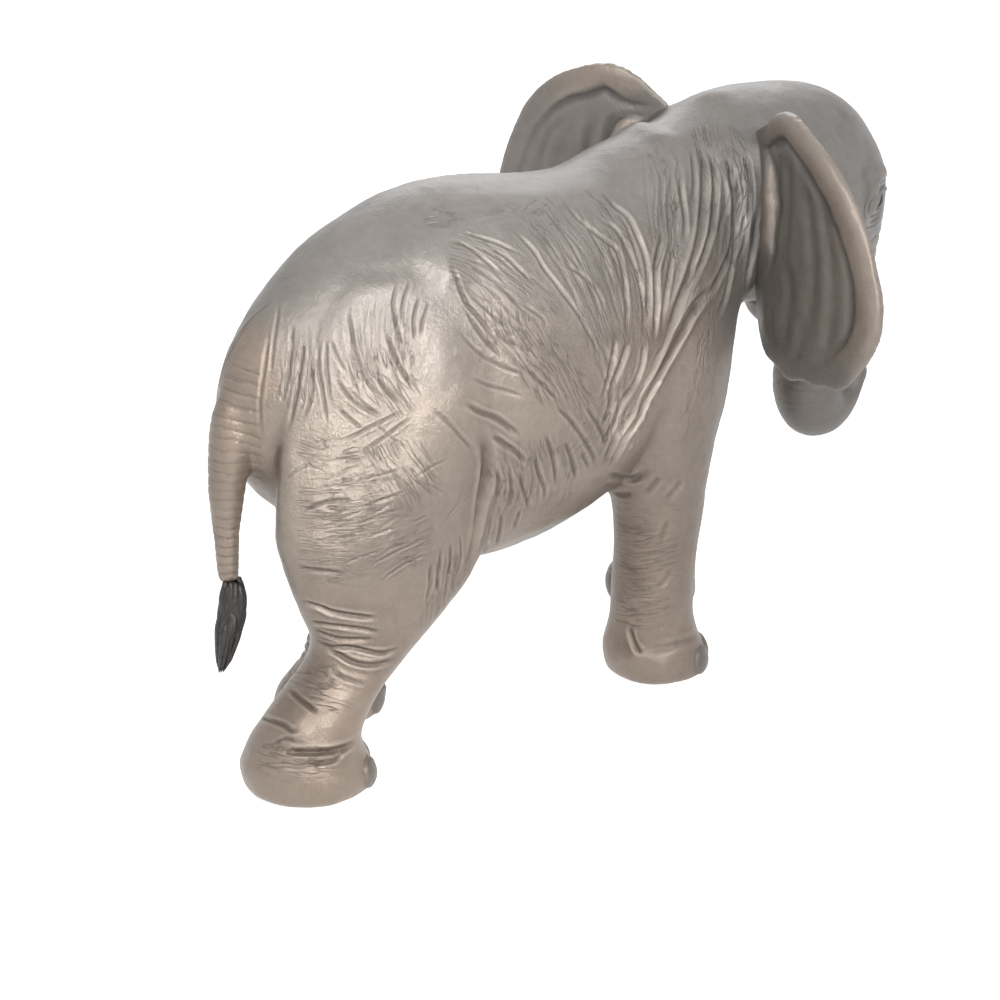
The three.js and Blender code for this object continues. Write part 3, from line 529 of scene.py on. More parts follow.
class Sides:
    """Where a point of a right leg lies on the left leg, which takes another step."""

    def __init__(self):
        self.rows = {}
        for pair in ("front", "hind"):
            for side in ("right", "left"):
                points, _ = mesh_arrays(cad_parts[f"{side}_{pair}_leg"])
                self.rows[side, pair] = self.profile(points)

    @staticmethod
    def profile(points):
        """The middle and half width of a leg along x and y, level by level."""
        rows = []
        for level in LEG_LEVELS:
            gap = np.abs(points[:, 2] - level)
            near = points[gap < LEVEL_REACH]
            if len(near) < LEAST_POINTS:
                near = points[gap < 2 * LEVEL_REACH]
            low, high = near.min(axis=0), near.max(axis=0)
            centre, half = (low + high) / 2, (high - low) / 2
            rows.append([centre[0], half[0], centre[1], half[1]])
        return np.array(rows)

    def measured(self, side, pair, heights):
        rows = self.rows[side, pair]
        return [np.interp(heights, LEG_LEVELS, rows[:, k]) for k in range(4)]

    def over(self, points, pair):
        """The like of right-side points on the left side, on a pair of legs or straight across."""
        made = points.copy()
        if pair is None:
            made[:, 1] *= -1
            return made
        x, half_x, y, half_y = self.measured("right", pair, points[:, 2])
        other_x, other_half_x, other_y, other_half_y = self.measured("left", pair, points[:, 2])
        made[:, 0] = other_x + (points[:, 0] - x) / half_x * other_half_x
        made[:, 1] = other_y - (points[:, 1] - y) / half_y * other_half_y
        return made


def draw(carving, sides, pixels, width, depth, pair=None, **shape):
    """One fold on the side that the photograph shows, and its like on the other side."""
    found = carving.path(pixels)
    if found is None:
        return
    line, ways = found
    carving.stroke(line, ways, width, depth, **shape)
    carving.stroke(*carving.snapped(sides.over(line, pair)), width, depth, **shape)


FAN_SEED = 7
FAN_POINTS = 24  # along each of its folds
FAN_LEAST_POINTS = 5
FAN_SHORTEST = 0.4  # share of the drawn length
FAN_SWAY = 2.2  # pixels
FAN_FADE = 0.4
FAN_COUNT_SHARE, FAN_WIDTH_SHARE, FAN_DEPTH_SHARE = 0.75, 0.85, 0.6  # of what FANS says


def fan(carving, sides, dice, first, last, count, width, depth, pair):
    """Folds between two drawn ones, each with a length, depth and sway of its own."""
    a, b = curve_through(first, FAN_POINTS), curve_through(last, FAN_POINTS)
    steps = FAN_POINTS - 1
    for k in range(count):
        share = (k + 0.5 + dice.uniform(-0.35, 0.35)) / count
        line = a + (b - a) * share
        length = dice.uniform(FAN_SHORTEST, 1.0)
        start = dice.uniform(0, 1 - length)
        begins = int(start * steps)
        ends = max(begins + FAN_LEAST_POINTS, int((start + length) * steps))
        line = line[begins:ends + 1]
        phase, turns = dice.uniform(0, 6.3), dice.uniform(0.6, 1.6)
        sway = np.sin(np.linspace(0, 6.3 * turns, len(line)) + phase) * FAN_SWAY
        way = np.gradient(line, axis=0)
        across = np.stack([-way[:, 1], way[:, 0]], axis=1)
        across /= np.maximum(np.linalg.norm(across, axis=1, keepdims=True), 1e-9)
        line = line + across * sway[:, None]
        strength = dice.uniform(0.4, 1.3)
        own_width = width * dice.uniform(0.7, 1.4)
        draw(carving, sides, line[::2], own_width, depth * strength, pair, fade=FAN_FADE)


# Folds of the photograph, as pixels of its 1000 x 1000 frame: (points, half width, depth) in millimetres

RUMP_FOLDS = [
    ([(347, 305), (354, 343), (362, 371), (370, 386), (383, 401)], 0.6, 0.34),
    ([(330, 338), (337, 357), (347, 375)], 0.6, 0.26),
    ([(335, 378), (347, 394), (362, 407), (383, 417)], 0.7, 0.42),
    ([(343, 384), (364, 404), (381, 414)], 0.5, 0.26),
    ([(337, 407), (351, 420), (364, 430)], 0.6, 0.3),
    ([(386, 330), (393, 353), (402, 371), (414, 390)], 0.7, 0.45),
    ([(376, 376), (387, 392), (400, 405)], 0.6, 0.4),
    ([(398, 280), (393, 301), (395, 319), (399, 336), (406, 350)], 0.6, 0.34),
    ([(410, 280), (403, 303), (403, 324)], 0.6, 0.32),
    ([(420, 295), (414, 318), (415, 343)], 0.6, 0.4),
    ([(430, 300), (423, 322), (421, 338)], 0.6, 0.3),
    ([(293, 319), (291, 357), (286, 386), (282, 407)], 0.7, 0.34),
    ([(305, 338), (301, 363), (297, 390), (291, 419), (286, 434)], 0.7, 0.42),
    ([(320, 338), (318, 367), (322, 390), (326, 415), (327, 427)], 0.6, 0.36),
    ([(311, 363), (312, 386), (309, 405), (301, 424)], 0.6, 0.32),
    ([(328, 334), (326, 357), (328, 382), (331, 407)], 0.6, 0.3),
    ([(270, 330), (264, 370), (260, 405), (262, 440)], 0.7, 0.3),
    ([(280, 300), (274, 340), (270, 380)], 0.6, 0.25),
]
HIP_FOLDS = [
    ([(448, 262), (459, 289), (469, 307), (481, 320), (492, 334), (502, 346)], 0.7, 0.5),
    ([(462, 303), (477, 328), (490, 345), (506, 360)], 0.6, 0.36),
    ([(471, 295), (487, 311), (500, 322), (510, 329)], 0.5, 0.34),
    ([(448, 243), (466, 247), (481, 257), (496, 270), (506, 278)], 0.6, 0.4),
    ([(488, 247), (506, 257), (521, 272), (535, 286)], 0.6, 0.34),
    ([(458, 232), (481, 238), (500, 244), (517, 255)], 0.6, 0.26),
    ([(511, 297), (529, 309), (542, 318), (548, 330)], 0.5, 0.25),
    ([(510, 226), (523, 240), (535, 253), (544, 268), (556, 284), (565, 297), (580, 315)], 0.7, 0.42),
    ([(471, 376), (490, 386), (510, 392), (527, 398)], 0.6, 0.22),
    ([(460, 330), (480, 352), (505, 368), (530, 376)], 0.6, 0.26),
]
FLANK_FOLDS = [
    ([(560, 194), (572, 213), (589, 228), (604, 240), (617, 251), (623, 276), (627, 309),
      (625, 340)], 0.7, 0.5),
    ([(594, 219), (614, 228), (625, 244), (633, 263), (640, 286), (644, 312), (642, 345)], 0.8, 0.55),
    ([(598, 190), (612, 205), (627, 217), (637, 236), (644, 253), (647, 270), (648, 300),
      (645, 338)], 0.8, 0.6),
    ([(560, 261), (583, 276), (598, 293), (606, 315)], 0.6, 0.3),
    ([(560, 286), (572, 305), (585, 326), (594, 343), (602, 360)], 0.5, 0.3),
    ([(540, 205), (556, 224), (572, 246), (584, 270)], 0.6, 0.3),
    ([(575, 205), (592, 236), (606, 262), (614, 292)], 0.6, 0.34),
]
ARMPIT_FOLDS = [
    ([(711, 286), (694, 308), (681, 330), (668, 352), (656, 374), (646, 396), (635, 419), (623, 440),
      (608, 470)], 1.1, 1.5),
    ([(662, 344), (654, 363), (646, 382), (637, 403), (623, 424), (612, 444), (604, 464)], 0.8, 0.8),
    ([(644, 338), (642, 363), (635, 382), (623, 401), (614, 422), (603, 446)], 0.8, 0.65),
    ([(629, 338), (621, 363), (612, 386), (610, 407), (600, 432)], 0.8, 0.5),
    ([(616, 338), (614, 350), (610, 373), (602, 400)], 0.7, 0.38),
    ([(586, 405), (598, 424), (608, 446)], 0.6, 0.3),
    ([(556, 405), (574, 424), (590, 448), (598, 466)], 0.6, 0.32),
]
NECK_FOLDS = [
    ([(698, 140), (703, 162), (704, 185), (703, 205), (700, 232), (694, 259), (685, 286), (676, 308),
      (662, 346)], 1.0, 0.85),
    ([(711, 146), (714, 170), (715, 196), (712, 224), (705, 250), (694, 276), (682, 304)], 0.9, 0.7),
    ([(724, 150), (732, 178), (736, 205), (734, 232), (729, 254), (716, 282), (702, 304)], 0.9, 0.75),
    ([(740, 205), (738, 234), (732, 260), (727, 290), (716, 320)], 1.0, 0.6),
    ([(677, 172), (682, 198), (685, 219), (684, 244)], 0.7, 0.4),
    ([(665, 228), (659, 251), (656, 272), (656, 309), (653, 345)], 0.9, 0.62),
    ([(674, 250), (668, 280), (664, 305), (660, 326)], 0.7, 0.45),
    ([(691, 150), (694, 178), (693, 200)], 0.6, 0.35),
    ([(745, 150), (750, 190), (748, 225)], 0.8, 0.35),
    ([(757, 205), (754, 240), (748, 272), (744, 296)], 0.9, 0.5),
]
THIGH_LINES = [
    ([(341, 486), (364, 478), (387, 472), (405, 466)], 0.4, 0.3),
    ([(364, 508), (381, 500), (397, 494), (410, 488)], 0.4, 0.32),
    ([(356, 524), (376, 516), (393, 510), (405, 507)], 0.4, 0.32),
    ([(366, 537), (381, 532), (399, 526)], 0.4, 0.28),
    ([(410, 522), (428, 515)], 0.4, 0.24),
    ([(370, 567), (387, 556), (410, 545), (428, 536)], 0.45, 0.36),
    ([(377, 583), (395, 570), (412, 560), (434, 552)], 0.45, 0.36),
    ([(337, 566), (357, 558), (380, 550), (390, 545)], 0.4, 0.24),
    ([(339, 465), (352, 461), (368, 457)], 0.4, 0.24),
    ([(335, 442), (353, 436), (372, 426), (395, 415), (408, 409)], 0.5, 0.34),
    ([(360, 451), (380, 440), (402, 424), (415, 416)], 0.5, 0.34),
    ([(414, 478), (433, 466), (450, 457)], 0.4, 0.28),
    ([(372, 422), (387, 434), (402, 445), (411, 450)], 0.4, 0.22),
    ([(421, 482), (435, 487), (446, 494)], 0.4, 0.2),
    ([(446, 518), (458, 503), (462, 496)], 0.4, 0.24),
    ([(332, 522), (357, 512), (380, 508)], 0.4, 0.22),
    ([(330, 541), (343, 537), (360, 534)], 0.4, 0.22),
]
THIGH_FOLDS = [
    ([(299, 514), (314, 506), (332, 501), (357, 500)], 0.6, 0.45),
    ([(284, 480), (301, 468), (312, 462)], 0.6, 0.2),
    ([(295, 566), (316, 570), (343, 573)], 0.7, 0.4),
    ([(429, 407), (446, 420), (462, 437), (474, 452)], 0.7, 0.28),
    ([(431, 560), (430, 582), (427, 604)], 0.7, 0.35),
    ([(441, 546), (439, 570), (436, 596)], 0.7, 0.4),
    ([(451, 540), (450, 565), (445, 592)], 0.7, 0.4),
    ([(460, 532), (461, 556), (456, 580)], 0.6, 0.35),
]
GROIN_CREASE = [
    (474, 428), (483, 440), (487, 457), (486, 474),
    (483, 489), (480, 507), (478, 521), (475, 539), (470, 560), (466, 576),
]
GROIN_WIDTH, GROIN_DEPTH = 1.2 * MM, 1.1 * MM
GROIN_FOLDS = [
    ([(464, 401), (479, 411), (496, 418), (510, 428), (522, 437)], 0.8, 0.6),
    ([(490, 434), (506, 445), (517, 453), (529, 465)], 0.8, 0.6),
    ([(496, 464), (498, 484), (495, 500)], 0.7, 0.4),
    ([(508, 466), (512, 491), (508, 510)], 0.7, 0.4),
    ([(519, 470), (527, 499), (531, 512)], 0.7, 0.4),
    ([(534, 453), (542, 478), (546, 491), (544, 505)], 0.7, 0.42),
    ([(544, 430), (553, 453), (557, 472), (559, 492)], 0.7, 0.4),
    ([(492, 510), (489, 535), (483, 556)], 0.7, 0.45),
    ([(502, 512), (500, 533), (496, 546)], 0.6, 0.4),
    ([(521, 510), (514, 530)], 0.6, 0.35),
    ([(566, 440), (574, 462), (577, 482)], 0.7, 0.35),
    ([(583, 452), (590, 470)], 0.6, 0.3),
]
KNEE_FOLDS = [
    ([(300, 600), (320, 607), (333, 612), (357, 616), (380, 618)], 0.8, 0.6),
    ([(308, 621), (332, 625), (356, 628), (384, 632)], 0.7, 0.5),
    ([(312, 628), (333, 637), (351, 639), (376, 639)], 0.7, 0.42),
    ([(314, 640), (332, 646), (351, 647), (381, 653), (402, 645)], 0.7, 0.5),
    ([(318, 643), (338, 653), (351, 661), (373, 665), (396, 658)], 0.8, 0.62),
    ([(332, 669), (345, 678), (367, 685)], 0.7, 0.3),
    ([(289, 690), (302, 701), (313, 710), (322, 717)], 0.8, 0.5),
    ([(262, 718), (281, 724), (294, 732), (303, 729)], 0.8, 0.5),
    ([(280, 752), (309, 752), (332, 751), (347, 746), (356, 740)], 1.0, 0.8),
    ([(306, 764), (332, 761), (342, 753), (352, 745)], 0.7, 0.45),
    ([(270, 745), (285, 739), (298, 742)], 0.6, 0.3),
]
FRONT_LEG_FOLDS = [
    ([(608, 474), (621, 478), (633, 479), (644, 473), (652, 465)], 0.9, 0.5),
    ([(612, 492), (624, 494), (634, 492)], 0.8, 0.3),
    ([(645, 494), (653, 484), (661, 475)], 0.8, 0.32),
    ([(664, 500), (673, 490), (682, 478)], 0.8, 0.3),
    ([(629, 624), (632, 637), (637, 648), (644, 655)], 0.7, 0.6),
    ([(639, 651), (655, 650), (672, 646), (690, 639), (702, 634)], 1.0, 0.3),
    ([(655, 590), (664, 580), (672, 566)], 0.8, 0.25),
    ([(658, 545), (664, 530), (668, 518)], 0.8, 0.22),
]

# The groups: (folds, leg pair, shares of their widths and depths, shape of the stroke)
MAIN_GROUPS = [
    (RUMP_FOLDS, None, 0.55, 0.75, {}),
    (HIP_FOLDS, None, 0.6, 0.75, {}),
    (FLANK_FOLDS, None, 0.7, 0.7, {}),
    (NECK_FOLDS, None, 0.75, 0.75, {"lip": 0.5}),
    (ARMPIT_FOLDS, None, 0.8, 0.85, {"lip": 0.4, "fade": 0.15}),
    (THIGH_LINES, "hind", 0.65, 0.5, {"lip": 0.8, "fade": 0.3}),
    (THIGH_FOLDS, "hind", 0.6, 0.7, {}),
    (GROIN_FOLDS, None, 0.65, 0.75, {"lip": 0.45}),
    (KNEE_FOLDS, "hind", 0.6, 0.85, {"lip": 0.5}),
    (FRONT_LEG_FOLDS, "front", 0.8, 0.7, {"lip": 0.5}),
]


def carve_folds(carving, sides):
    for folds, pair, width_share, depth_share, shape in MAIN_GROUPS:
        for pixels, width, depth in folds:
            draw(carving, sides, pixels, width * width_share * MM, depth * depth_share * MM, pair, **shape)
    draw(carving, sides, GROIN_CREASE, GROIN_WIDTH, GROIN_DEPTH, "hind", fade=0.35)


# Families of fine folds between two drawn ones: (first, last, count, half width, depth, leg pair)
FANS = [
    ([(283, 318), (281, 357), (276, 386), (272, 412)],
     [(330, 300), (325, 357), (328, 390), (334, 430)], 12, 0.42, 0.17, None),
    ([(335, 290), (338, 350), (352, 392), (382, 424)],
     [(424, 290), (412, 330), (414, 362), (426, 392)], 22, 0.4, 0.16, None),
    ([(459, 290), (478, 320), (505, 350), (545, 372)],
     [(452, 226), (492, 236), (532, 262), (565, 305)], 16, 0.42, 0.2, None),
    ([(505, 205), (545, 255), (580, 315), (602, 362)],
     [(598, 190), (630, 225), (648, 290), (646, 345)], 18, 0.45, 0.24, None),
    ([(585, 326), (600, 365), (606, 410), (598, 455)],
     [(661, 344), (646, 382), (623, 424), (606, 462)], 10, 0.5, 0.3, None),
    ([(684, 130), (703, 175), (702, 225), (684, 286), (661, 347)],
     [(738, 130), (747, 190), (744, 240), (732, 292)], 9, 0.5, 0.26, None),
    ([(640, 150), (645, 200), (650, 250), (650, 300)],
     [(676, 150), (688, 190), (682, 240), (668, 290)], 10, 0.45, 0.16, None),
    ([(341, 470), (372, 462), (404, 452)],
     [(378, 590), (412, 568), (440, 556)], 22, 0.38, 0.16, "hind"),
    ([(300, 470), (322, 492), (350, 522)],
     [(420, 436), (445, 470), (468, 508)], 18, 0.38, 0.1, "hind"),
    ([(300, 480), (340, 478), (380, 470)],
     [(300, 590), (340, 590), (400, 588)], 16, 0.42, 0.12, "hind"),
    ([(490, 455), (497, 490), (488, 540)],
     [(570, 430), (582, 470), (574, 500)], 13, 0.5, 0.24, None),
    ([(425, 560), (425, 600), (418, 632)],
     [(470, 545), (464, 582), (448, 612)], 9, 0.5, 0.24, "hind"),
    ([(470, 310), (500, 350), (545, 390), (580, 430)],
     [(560, 320), (580, 370), (592, 420), (590, 455)], 14, 0.42, 0.14, None),
    ([(300, 655), (330, 665), (370, 672)],
     [(262, 700), (300, 712), (345, 720)], 7, 0.5, 0.2, "hind"),
    ([(265, 735), (300, 742), (345, 745)],
     [(250, 775), (300, 785), (350, 780)], 8, 0.5, 0.2, "hind"),
    ([(420, 210), (480, 200), (540, 200)],
     [(430, 232), (500, 222), (560, 216)], 4, 0.5, 0.08, None),
    ([(300, 430), (330, 440), (360, 436)],
     [(285, 470), (320, 478), (360, 470)], 7, 0.42, 0.14, "hind"),
    ([(615, 500), (640, 505), (690, 495)],
     [(615, 625), (645, 632), (690, 622)], 12, 0.5, 0.1, "front"),
    ([(700, 310), (690, 380), (670, 440)],
     [(730, 310), (715, 390), (700, 450)], 7, 0.5, 0.1, "front"),
]


def carve_fans(carving, sides):
    dice = random.Random(FAN_SEED)
    for first, last, count, width, depth, pair in FANS:
        fan(carving, sides, dice, first, last, round(FAN_COUNT_SHARE * count),
            FAN_WIDTH_SHARE * width * MM, FAN_DEPTH_SHARE * depth * MM, pair)


FLOW_ROWS, FLOW_COLUMNS = 16, 12
FLOW_FADE = 3.0 * MM  # over which the finest lines of a family fade at its border
FLOW_APART = 50 * MM  # from one family's coordinates to the next one's, so that their noise differs
FLOW_SPREAD = 1.1  # of a spot's weight, in squared steps between spots
FLOW_RAGGED = (0.15, 4 * MM, 81)  # share, size and seed of the noise in a border


class Flow:
    """Coordinates across and along the families of folds, which the paint's finest lines follow."""

    def __init__(self, carving, sides):
        self.carving, self.sides = carving, sides
        self.across, self.along, self.strength = (np.zeros(len(carving.points)) for _ in range(3))
        for number, (first, last, _, _, _, pair) in enumerate(FANS):
            self.add(first, last, pair, number * FLOW_APART)

    def add(self, first, last, pair, start):
        a, b = curve_through(first, FLOW_ROWS), curve_through(last, FLOW_ROWS)
        spots = np.full((FLOW_COLUMNS, FLOW_ROWS, 3), np.nan)
        ways = np.zeros_like(spots)
        for column, share in enumerate(np.linspace(0, 1, FLOW_COLUMNS)):
            for row, pixel in enumerate(a + (b - a) * share):
                place, normal = self.carving.cast(*pixel)
                if place is not None:
                    spots[column, row], ways[column, row] = place, normal
        wide = np.nanmedian(np.linalg.norm(np.diff(spots, axis=0), axis=2))
        long = np.nanmedian(np.linalg.norm(np.diff(spots, axis=1), axis=2))
        hit = ~np.isnan(spots[:, :, 0])
        columns, rows = np.nonzero(hit)
        spots, ways = spots[hit], ways[hit]
        other, other_ways = self.carving.snapped(self.sides.over(spots, pair))
        for here, facing in ((spots, ways), (other, other_ways)):
            step = max(wide, long, FLOW_FADE)
            self.lay(here, facing, columns * wide, rows * long, step, wide * long, start)

    def lay(self, spots, ways, across, along, step, cell, start):
        index = self.carving.near(spots, 2 * step)
        p = self.carving.points[index]
        squared = (p ** 2).sum(axis=1)[:, None] + (spots ** 2).sum(axis=1) - 2 * p @ spots.T
        facing = (self.carving.normals[index] * ways[squared.argmin(axis=1)]).sum(axis=1) > FACING
        weight = np.exp(-squared / (FLOW_SPREAD * step ** 2))
        total = np.maximum(weight.sum(axis=1), 1e-9)
        ragged, size, seed = FLOW_RAGGED
        share = total * cell / (math.pi * FLOW_SPREAD * step ** 2) + ragged * noise(p, size, seed)
        own = ramp(share, 0.3, 0.9) * facing
        over = own > 0.5
        faded = self.strength[index] * (1 - ramp(own, 0.1, 0.5))
        self.strength[index] = np.where(over, ramp(own, 0.5, 0.9), faded)
        self.across[index[over]] = (weight @ across / total + start)[over]
        self.along[index[over]] = (weight @ along / total + start)[over]


SWELLS = [  # (pixel, radius, height, leg pair) in millimetres
    ((450, 278), 3.2, 0.9, None), ((442, 250), 4.0, 0.5, None), ((664, 138), 3.0, 0.9, None),
    ((640, 160), 6.0, 0.5, None), ((560, 470), 9.0, -0.6, None), ((470, 360), 7.0, -0.5, None),
    ((716, 98), 3.2, 0.6, None), ((775, 200), 4.0, 0.9, None), ((772, 160), 3.0, 0.7, None),
    ((774, 235), 3.0, 0.6, None), ((320, 705), 3.6, 0.6, "hind"), ((302, 722), 3.0, 0.5, "hind"),
    ((334, 655), 2.2, 0.5, "hind"), ((330, 680), 2.4, 0.5, "hind"), ((298, 737), 2.4, 0.5, "hind"),
    ((650, 598), 3.5, 0.5, "front"), ((678, 486), 2.6, 0.4, "front"), ((655, 668), 3.0, 0.5, "front"),
    ((634, 660), 2.4, 0.4, "front"), ((668, 352), 2.6, 0.4, None), ((657, 378), 2.2, 0.4, None),
    ((323, 333), 4.5, 0.4, None), ((338, 300), 4.5, 0.4, None), ((357, 283), 4.5, 0.4, None),
    ((381, 276), 4.5, 0.4, None), ((406, 277), 4.5, 0.4, None),
]
ARMPIT_BEADS = [
    (667, 360), (663, 372), (658, 384), (655, 396), (650, 408), (643, 420), (637, 432), (631, 446),
]
ARMPIT_BEAD = (0.9, 0.3)  # radius and height in millimetres
HEAD_HOLLOWS = [
    ([(843, 108), (842, 126), (841, 146)], 3.0, 0.4),
    ([(858, 155), (868, 180), (875, 203), (876, 228)], 2.6, 0.6),
]
BROW = ((879, 176), 6.5, 1.0)


def carve_head(carving, sides):
    for pixels, width, depth in HEAD_HOLLOWS:
        draw(carving, sides, pixels, width * MM, depth * MM, lip=0.1)
    pixel, radius, height = BROW
    place, _ = carving.cast(*pixel)
    if place:
        for y in (1, -1):
            carving.swell((place[0], place[1] * y, place[2]), radius * MM, height * MM)


def carve_swells(carving, sides):
    beads = [(pixel, *ARMPIT_BEAD, None) for pixel in ARMPIT_BEADS]
    for (x, y), radius, height, pair in SWELLS + beads:
        place, _ = carving.cast(x, y)
        if place is None:
            continue
        carving.swell(place, radius * MM, height * MM)
        other, _ = carving.snapped(sides.over(np.array([place]), pair))
        carving.swell(other[0], radius * MM, height * MM)


UNEVENNESS = [(0.10, 6.0, 11), (0.06, 2.4, 12), (0.035, 1.2, 13)]  # height, size in millimetres, seed


def carve_texture(carving, layers):
    """Small unevenness of hand-worked skin."""
    for height, size, seed in layers:
        carving.height += height * MM * noise(carving.points, size * MM, seed)


# Blender objects

def make_mesh(name, points, faces, normals=None, attributes=None, material=None):
    mesh = bpy.data.meshes.new(name)
    mesh.from_pydata(points.tolist(), [], faces if isinstance(faces, list) else faces.tolist())
    mesh.polygons.foreach_set("use_smooth", [True] * len(mesh.polygons))
    for key, values in (attributes or {}).items():
        values = np.ascontiguousarray(values, np.float32)
        mesh.attributes.new(key, "FLOAT", "POINT").data.foreach_set("value", values)
    mesh.update()
    if normals is not None:
        mesh.normals_split_custom_set_from_vertices(normals.tolist())
    if material:
        mesh.materials.append(material)
    made = bpy.data.objects.new(name, mesh)
    bpy.context.scene.collection.objects.link(made)
    return made


def area_light(name, place, aim, size, power, colour, spread):
    data = bpy.data.lights.new(name, "AREA")
    data.size, data.energy, data.color, data.spread = size, power, colour, math.radians(spread)
    lamp = bpy.data.objects.new(name, data)
    lamp.location = place
    way = Vector(aim) - Vector(place)
    lamp.rotation_mode = "QUATERNION"
    lamp.rotation_quaternion = way.to_track_quat("-Z", "Y")
    bpy.context.scene.collection.objects.link(lamp)


# Head, trunk, tail and feet: forms that the photograph hides or shows small

TRUNK_LINE = [  # x and z in millimetres
    (69.4, 76), (70.4, 66), (68.9, 58), (66.6, 51), (64.6, 44), (65.1, 38), (68.4, 35), (72.9, 35.7),
    (75.6, 39.5), (76.6, 44.7),
]
TRUNK_RINGS = {"ring": 2.5 * MM, "depth": 0.3 * MM, "reach": 13 * MM, "seed": 61, "fade": (0.35, 0.6)}
TAIL_LINE = [
    (-65.8, 69.5), (-69.6, 64.9), (-71.6, 59.2), (-72.6, 53.9), (-73.2, 48.2), (-73.4, 42.2), (-73.4, 37.5),
    (-73.2, 33),
]
TAIL_RINGS = {"ring": 1.7 * MM, "depth": 0.17 * MM, "reach": 5 * MM, "seed": 71, "fade": (1.0, 1.1)}
FRONT_NAILS = (-66, -22, 22, 66)  # degrees from straight ahead
HIND_NAILS = (-52, 0, 52)
NAIL_LEVEL = 3.3 * MM
NAIL_HALF_HEIGHT = 2.5 * MM
NAIL_HALF_WIDTH = 2.7 * MM
NAIL_HEIGHT = 0.45 * MM
NAIL_TOP = 8 * MM
SOLE_LEVEL = 0.5 * MM


def carve_rings(carving, line, ring, depth, reach, seed, fade):
    """Rings across a limb that follows a line in the middle plane; they fade between two shares of it."""
    path = np.array([(x * MM, 0, z * MM) for x, z in curve_through(line, 40)])
    index = carving.near(path, reach)
    p = carving.points[index]
    flat = p * [1, 0, 1]
    lengths = np.concatenate([[0], np.cumsum(np.linalg.norm(np.diff(path, axis=0), axis=1))])
    gaps = ((flat[:, None] - path[None]) ** 2).sum(axis=2)
    nearest = gaps.argmin(axis=1)
    away = np.linalg.norm(p - path[nearest], axis=1)
    kept = (away < reach) & (nearest > 0) & (nearest < len(path) - 1)
    index, p, nearest = index[kept], p[kept], nearest[kept]
    tangent = np.gradient(path, axis=0)[nearest]
    tangent /= np.linalg.norm(tangent, axis=1, keepdims=True)
    along = lengths[nearest] + ((p - path[nearest]) * tangent).sum(axis=1)
    phase = along / ring + 0.35 * noise(p, 5 * MM, seed) + 0.2 * noise(p, 2 * MM, seed + 1)
    groove = np.exp(-(np.sin(math.pi * phase) / 0.42) ** 2)
    strength = (0.6 + 0.4 * noise(p, 4 * MM, seed + 2)) * (1 - ramp(nearest / len(path), *fade))
    carving.height[index] -= depth * groove * strength


MOUTH_DEPTH, MOUTH_WIDTH, MOUTH_REACH = 1.0 * MM, 0.7 * MM, 1.6 * MM
LIP_HEIGHT, LIP_WIDTH = 0.35 * MM, 0.9 * MM


def carve_mouth(carving, grid, fields):
    """The line between the trunk and the lower jaw."""
    jaw = grid.sample(fields["lower_jaw"], carving.points)
    head = grid.sample(np.minimum(fields["head"], fields["trunk"]), carving.points)
    near = np.exp(-((jaw + head) / MOUTH_REACH) ** 2)
    carving.height -= MOUTH_DEPTH * near * np.exp(-((jaw - head) / MOUTH_WIDTH) ** 2)
    carving.height += LIP_HEIGHT * near * np.exp(-((jaw - head) / LIP_WIDTH + 1.8) ** 2)


def middle(name):
    low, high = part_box(name)
    return np.array((low + high) / 2)


EYE_HALF_LENGTH, EYE_HALF_HEIGHT = 1.25 * MM, 0.85 * MM
EYE_AREA = 12 * MM
EYE_FOLDS = 3
# Rises beside the eye, in millimetres: height, place forward and up from the eye, half size along both
EYE_BROW = (0.7, 0.5, 5.2, 5.0, 1.8)
EYE_TEMPLE = (1.3, -3.4, 2.2, 1.6, 2.6)


def mound(off, height, forward, up, half_forward, half_up):
    along = (off[:, 0] / MM - forward) / half_forward
    above = (off[:, 2] / MM - up) / half_up
    return height * np.exp(-above ** 2 - along ** 2)


def carve_eyes(carving):
    """Hollow, lids, folds, brow and temple of each eye."""
    for name in ("right_eye", "left_eye"):
        at = middle(name)
        index = carving.near(at[None], EYE_AREA)
        off = carving.points[index] - at
        long, high = off[:, 0] / EYE_HALF_LENGTH, off[:, 2] / EYE_HALF_HEIGHT
        outward = np.sign(at[1]) * off[:, 1]
        ring = np.sqrt(long ** 2 + high ** 2)
        facing = ramp(outward, -1 * MM, 1 * MM)
        lids = 0.75 * np.exp(-((ring - 2.45) / 0.55) ** 2) - 0.9 * np.exp(-(ring / 1.55) ** 4)
        folds = 0.0
        for k in range(EYE_FOLDS):
            shown = ramp(np.abs(noise(off, 5 * MM, 30 + k)), 0.0, 0.4)
            folds = folds - 0.28 * np.exp(-((ring - 3.7 - 1.15 * k) / 0.3) ** 2) * shown
        rises = mound(off, *EYE_BROW) + mound(off, *EYE_TEMPLE)
        carving.height[index] += (lids + folds + rises) * MM * facing


def leg_sole(name):
    points, _ = mesh_arrays(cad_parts[name])
    sole = points[points[:, 2] < SOLE_LEVEL]
    low, high = sole.min(axis=0), sole.max(axis=0)
    return (low + high) / 2, (high - low) / 2


def nail_share(points, name):
    """1 on a leg's toenails and 0 beside them."""
    centre, half = leg_sole(name)
    angles = FRONT_NAILS if "front" in name else HIND_NAILS
    off = points - centre
    turn = np.arctan2(off[:, 1], off[:, 0])
    near = (np.abs(off[:, :2]) < half[:2] * 1.3).all(axis=1) & (points[:, 2] < NAIL_TOP)
    made = np.zeros(len(points))
    for degrees in angles:
        across = (turn - math.radians(degrees)) * half[0] / NAIL_HALF_WIDTH
        up = (points[:, 2] - NAIL_LEVEL) / NAIL_HALF_HEIGHT
        oval = np.sqrt(np.abs(across) ** 2.6 + np.abs(up) ** 2.6)
        made = np.maximum(made, 1 - ramp(oval, 0.82, 1.05))
    return made * near


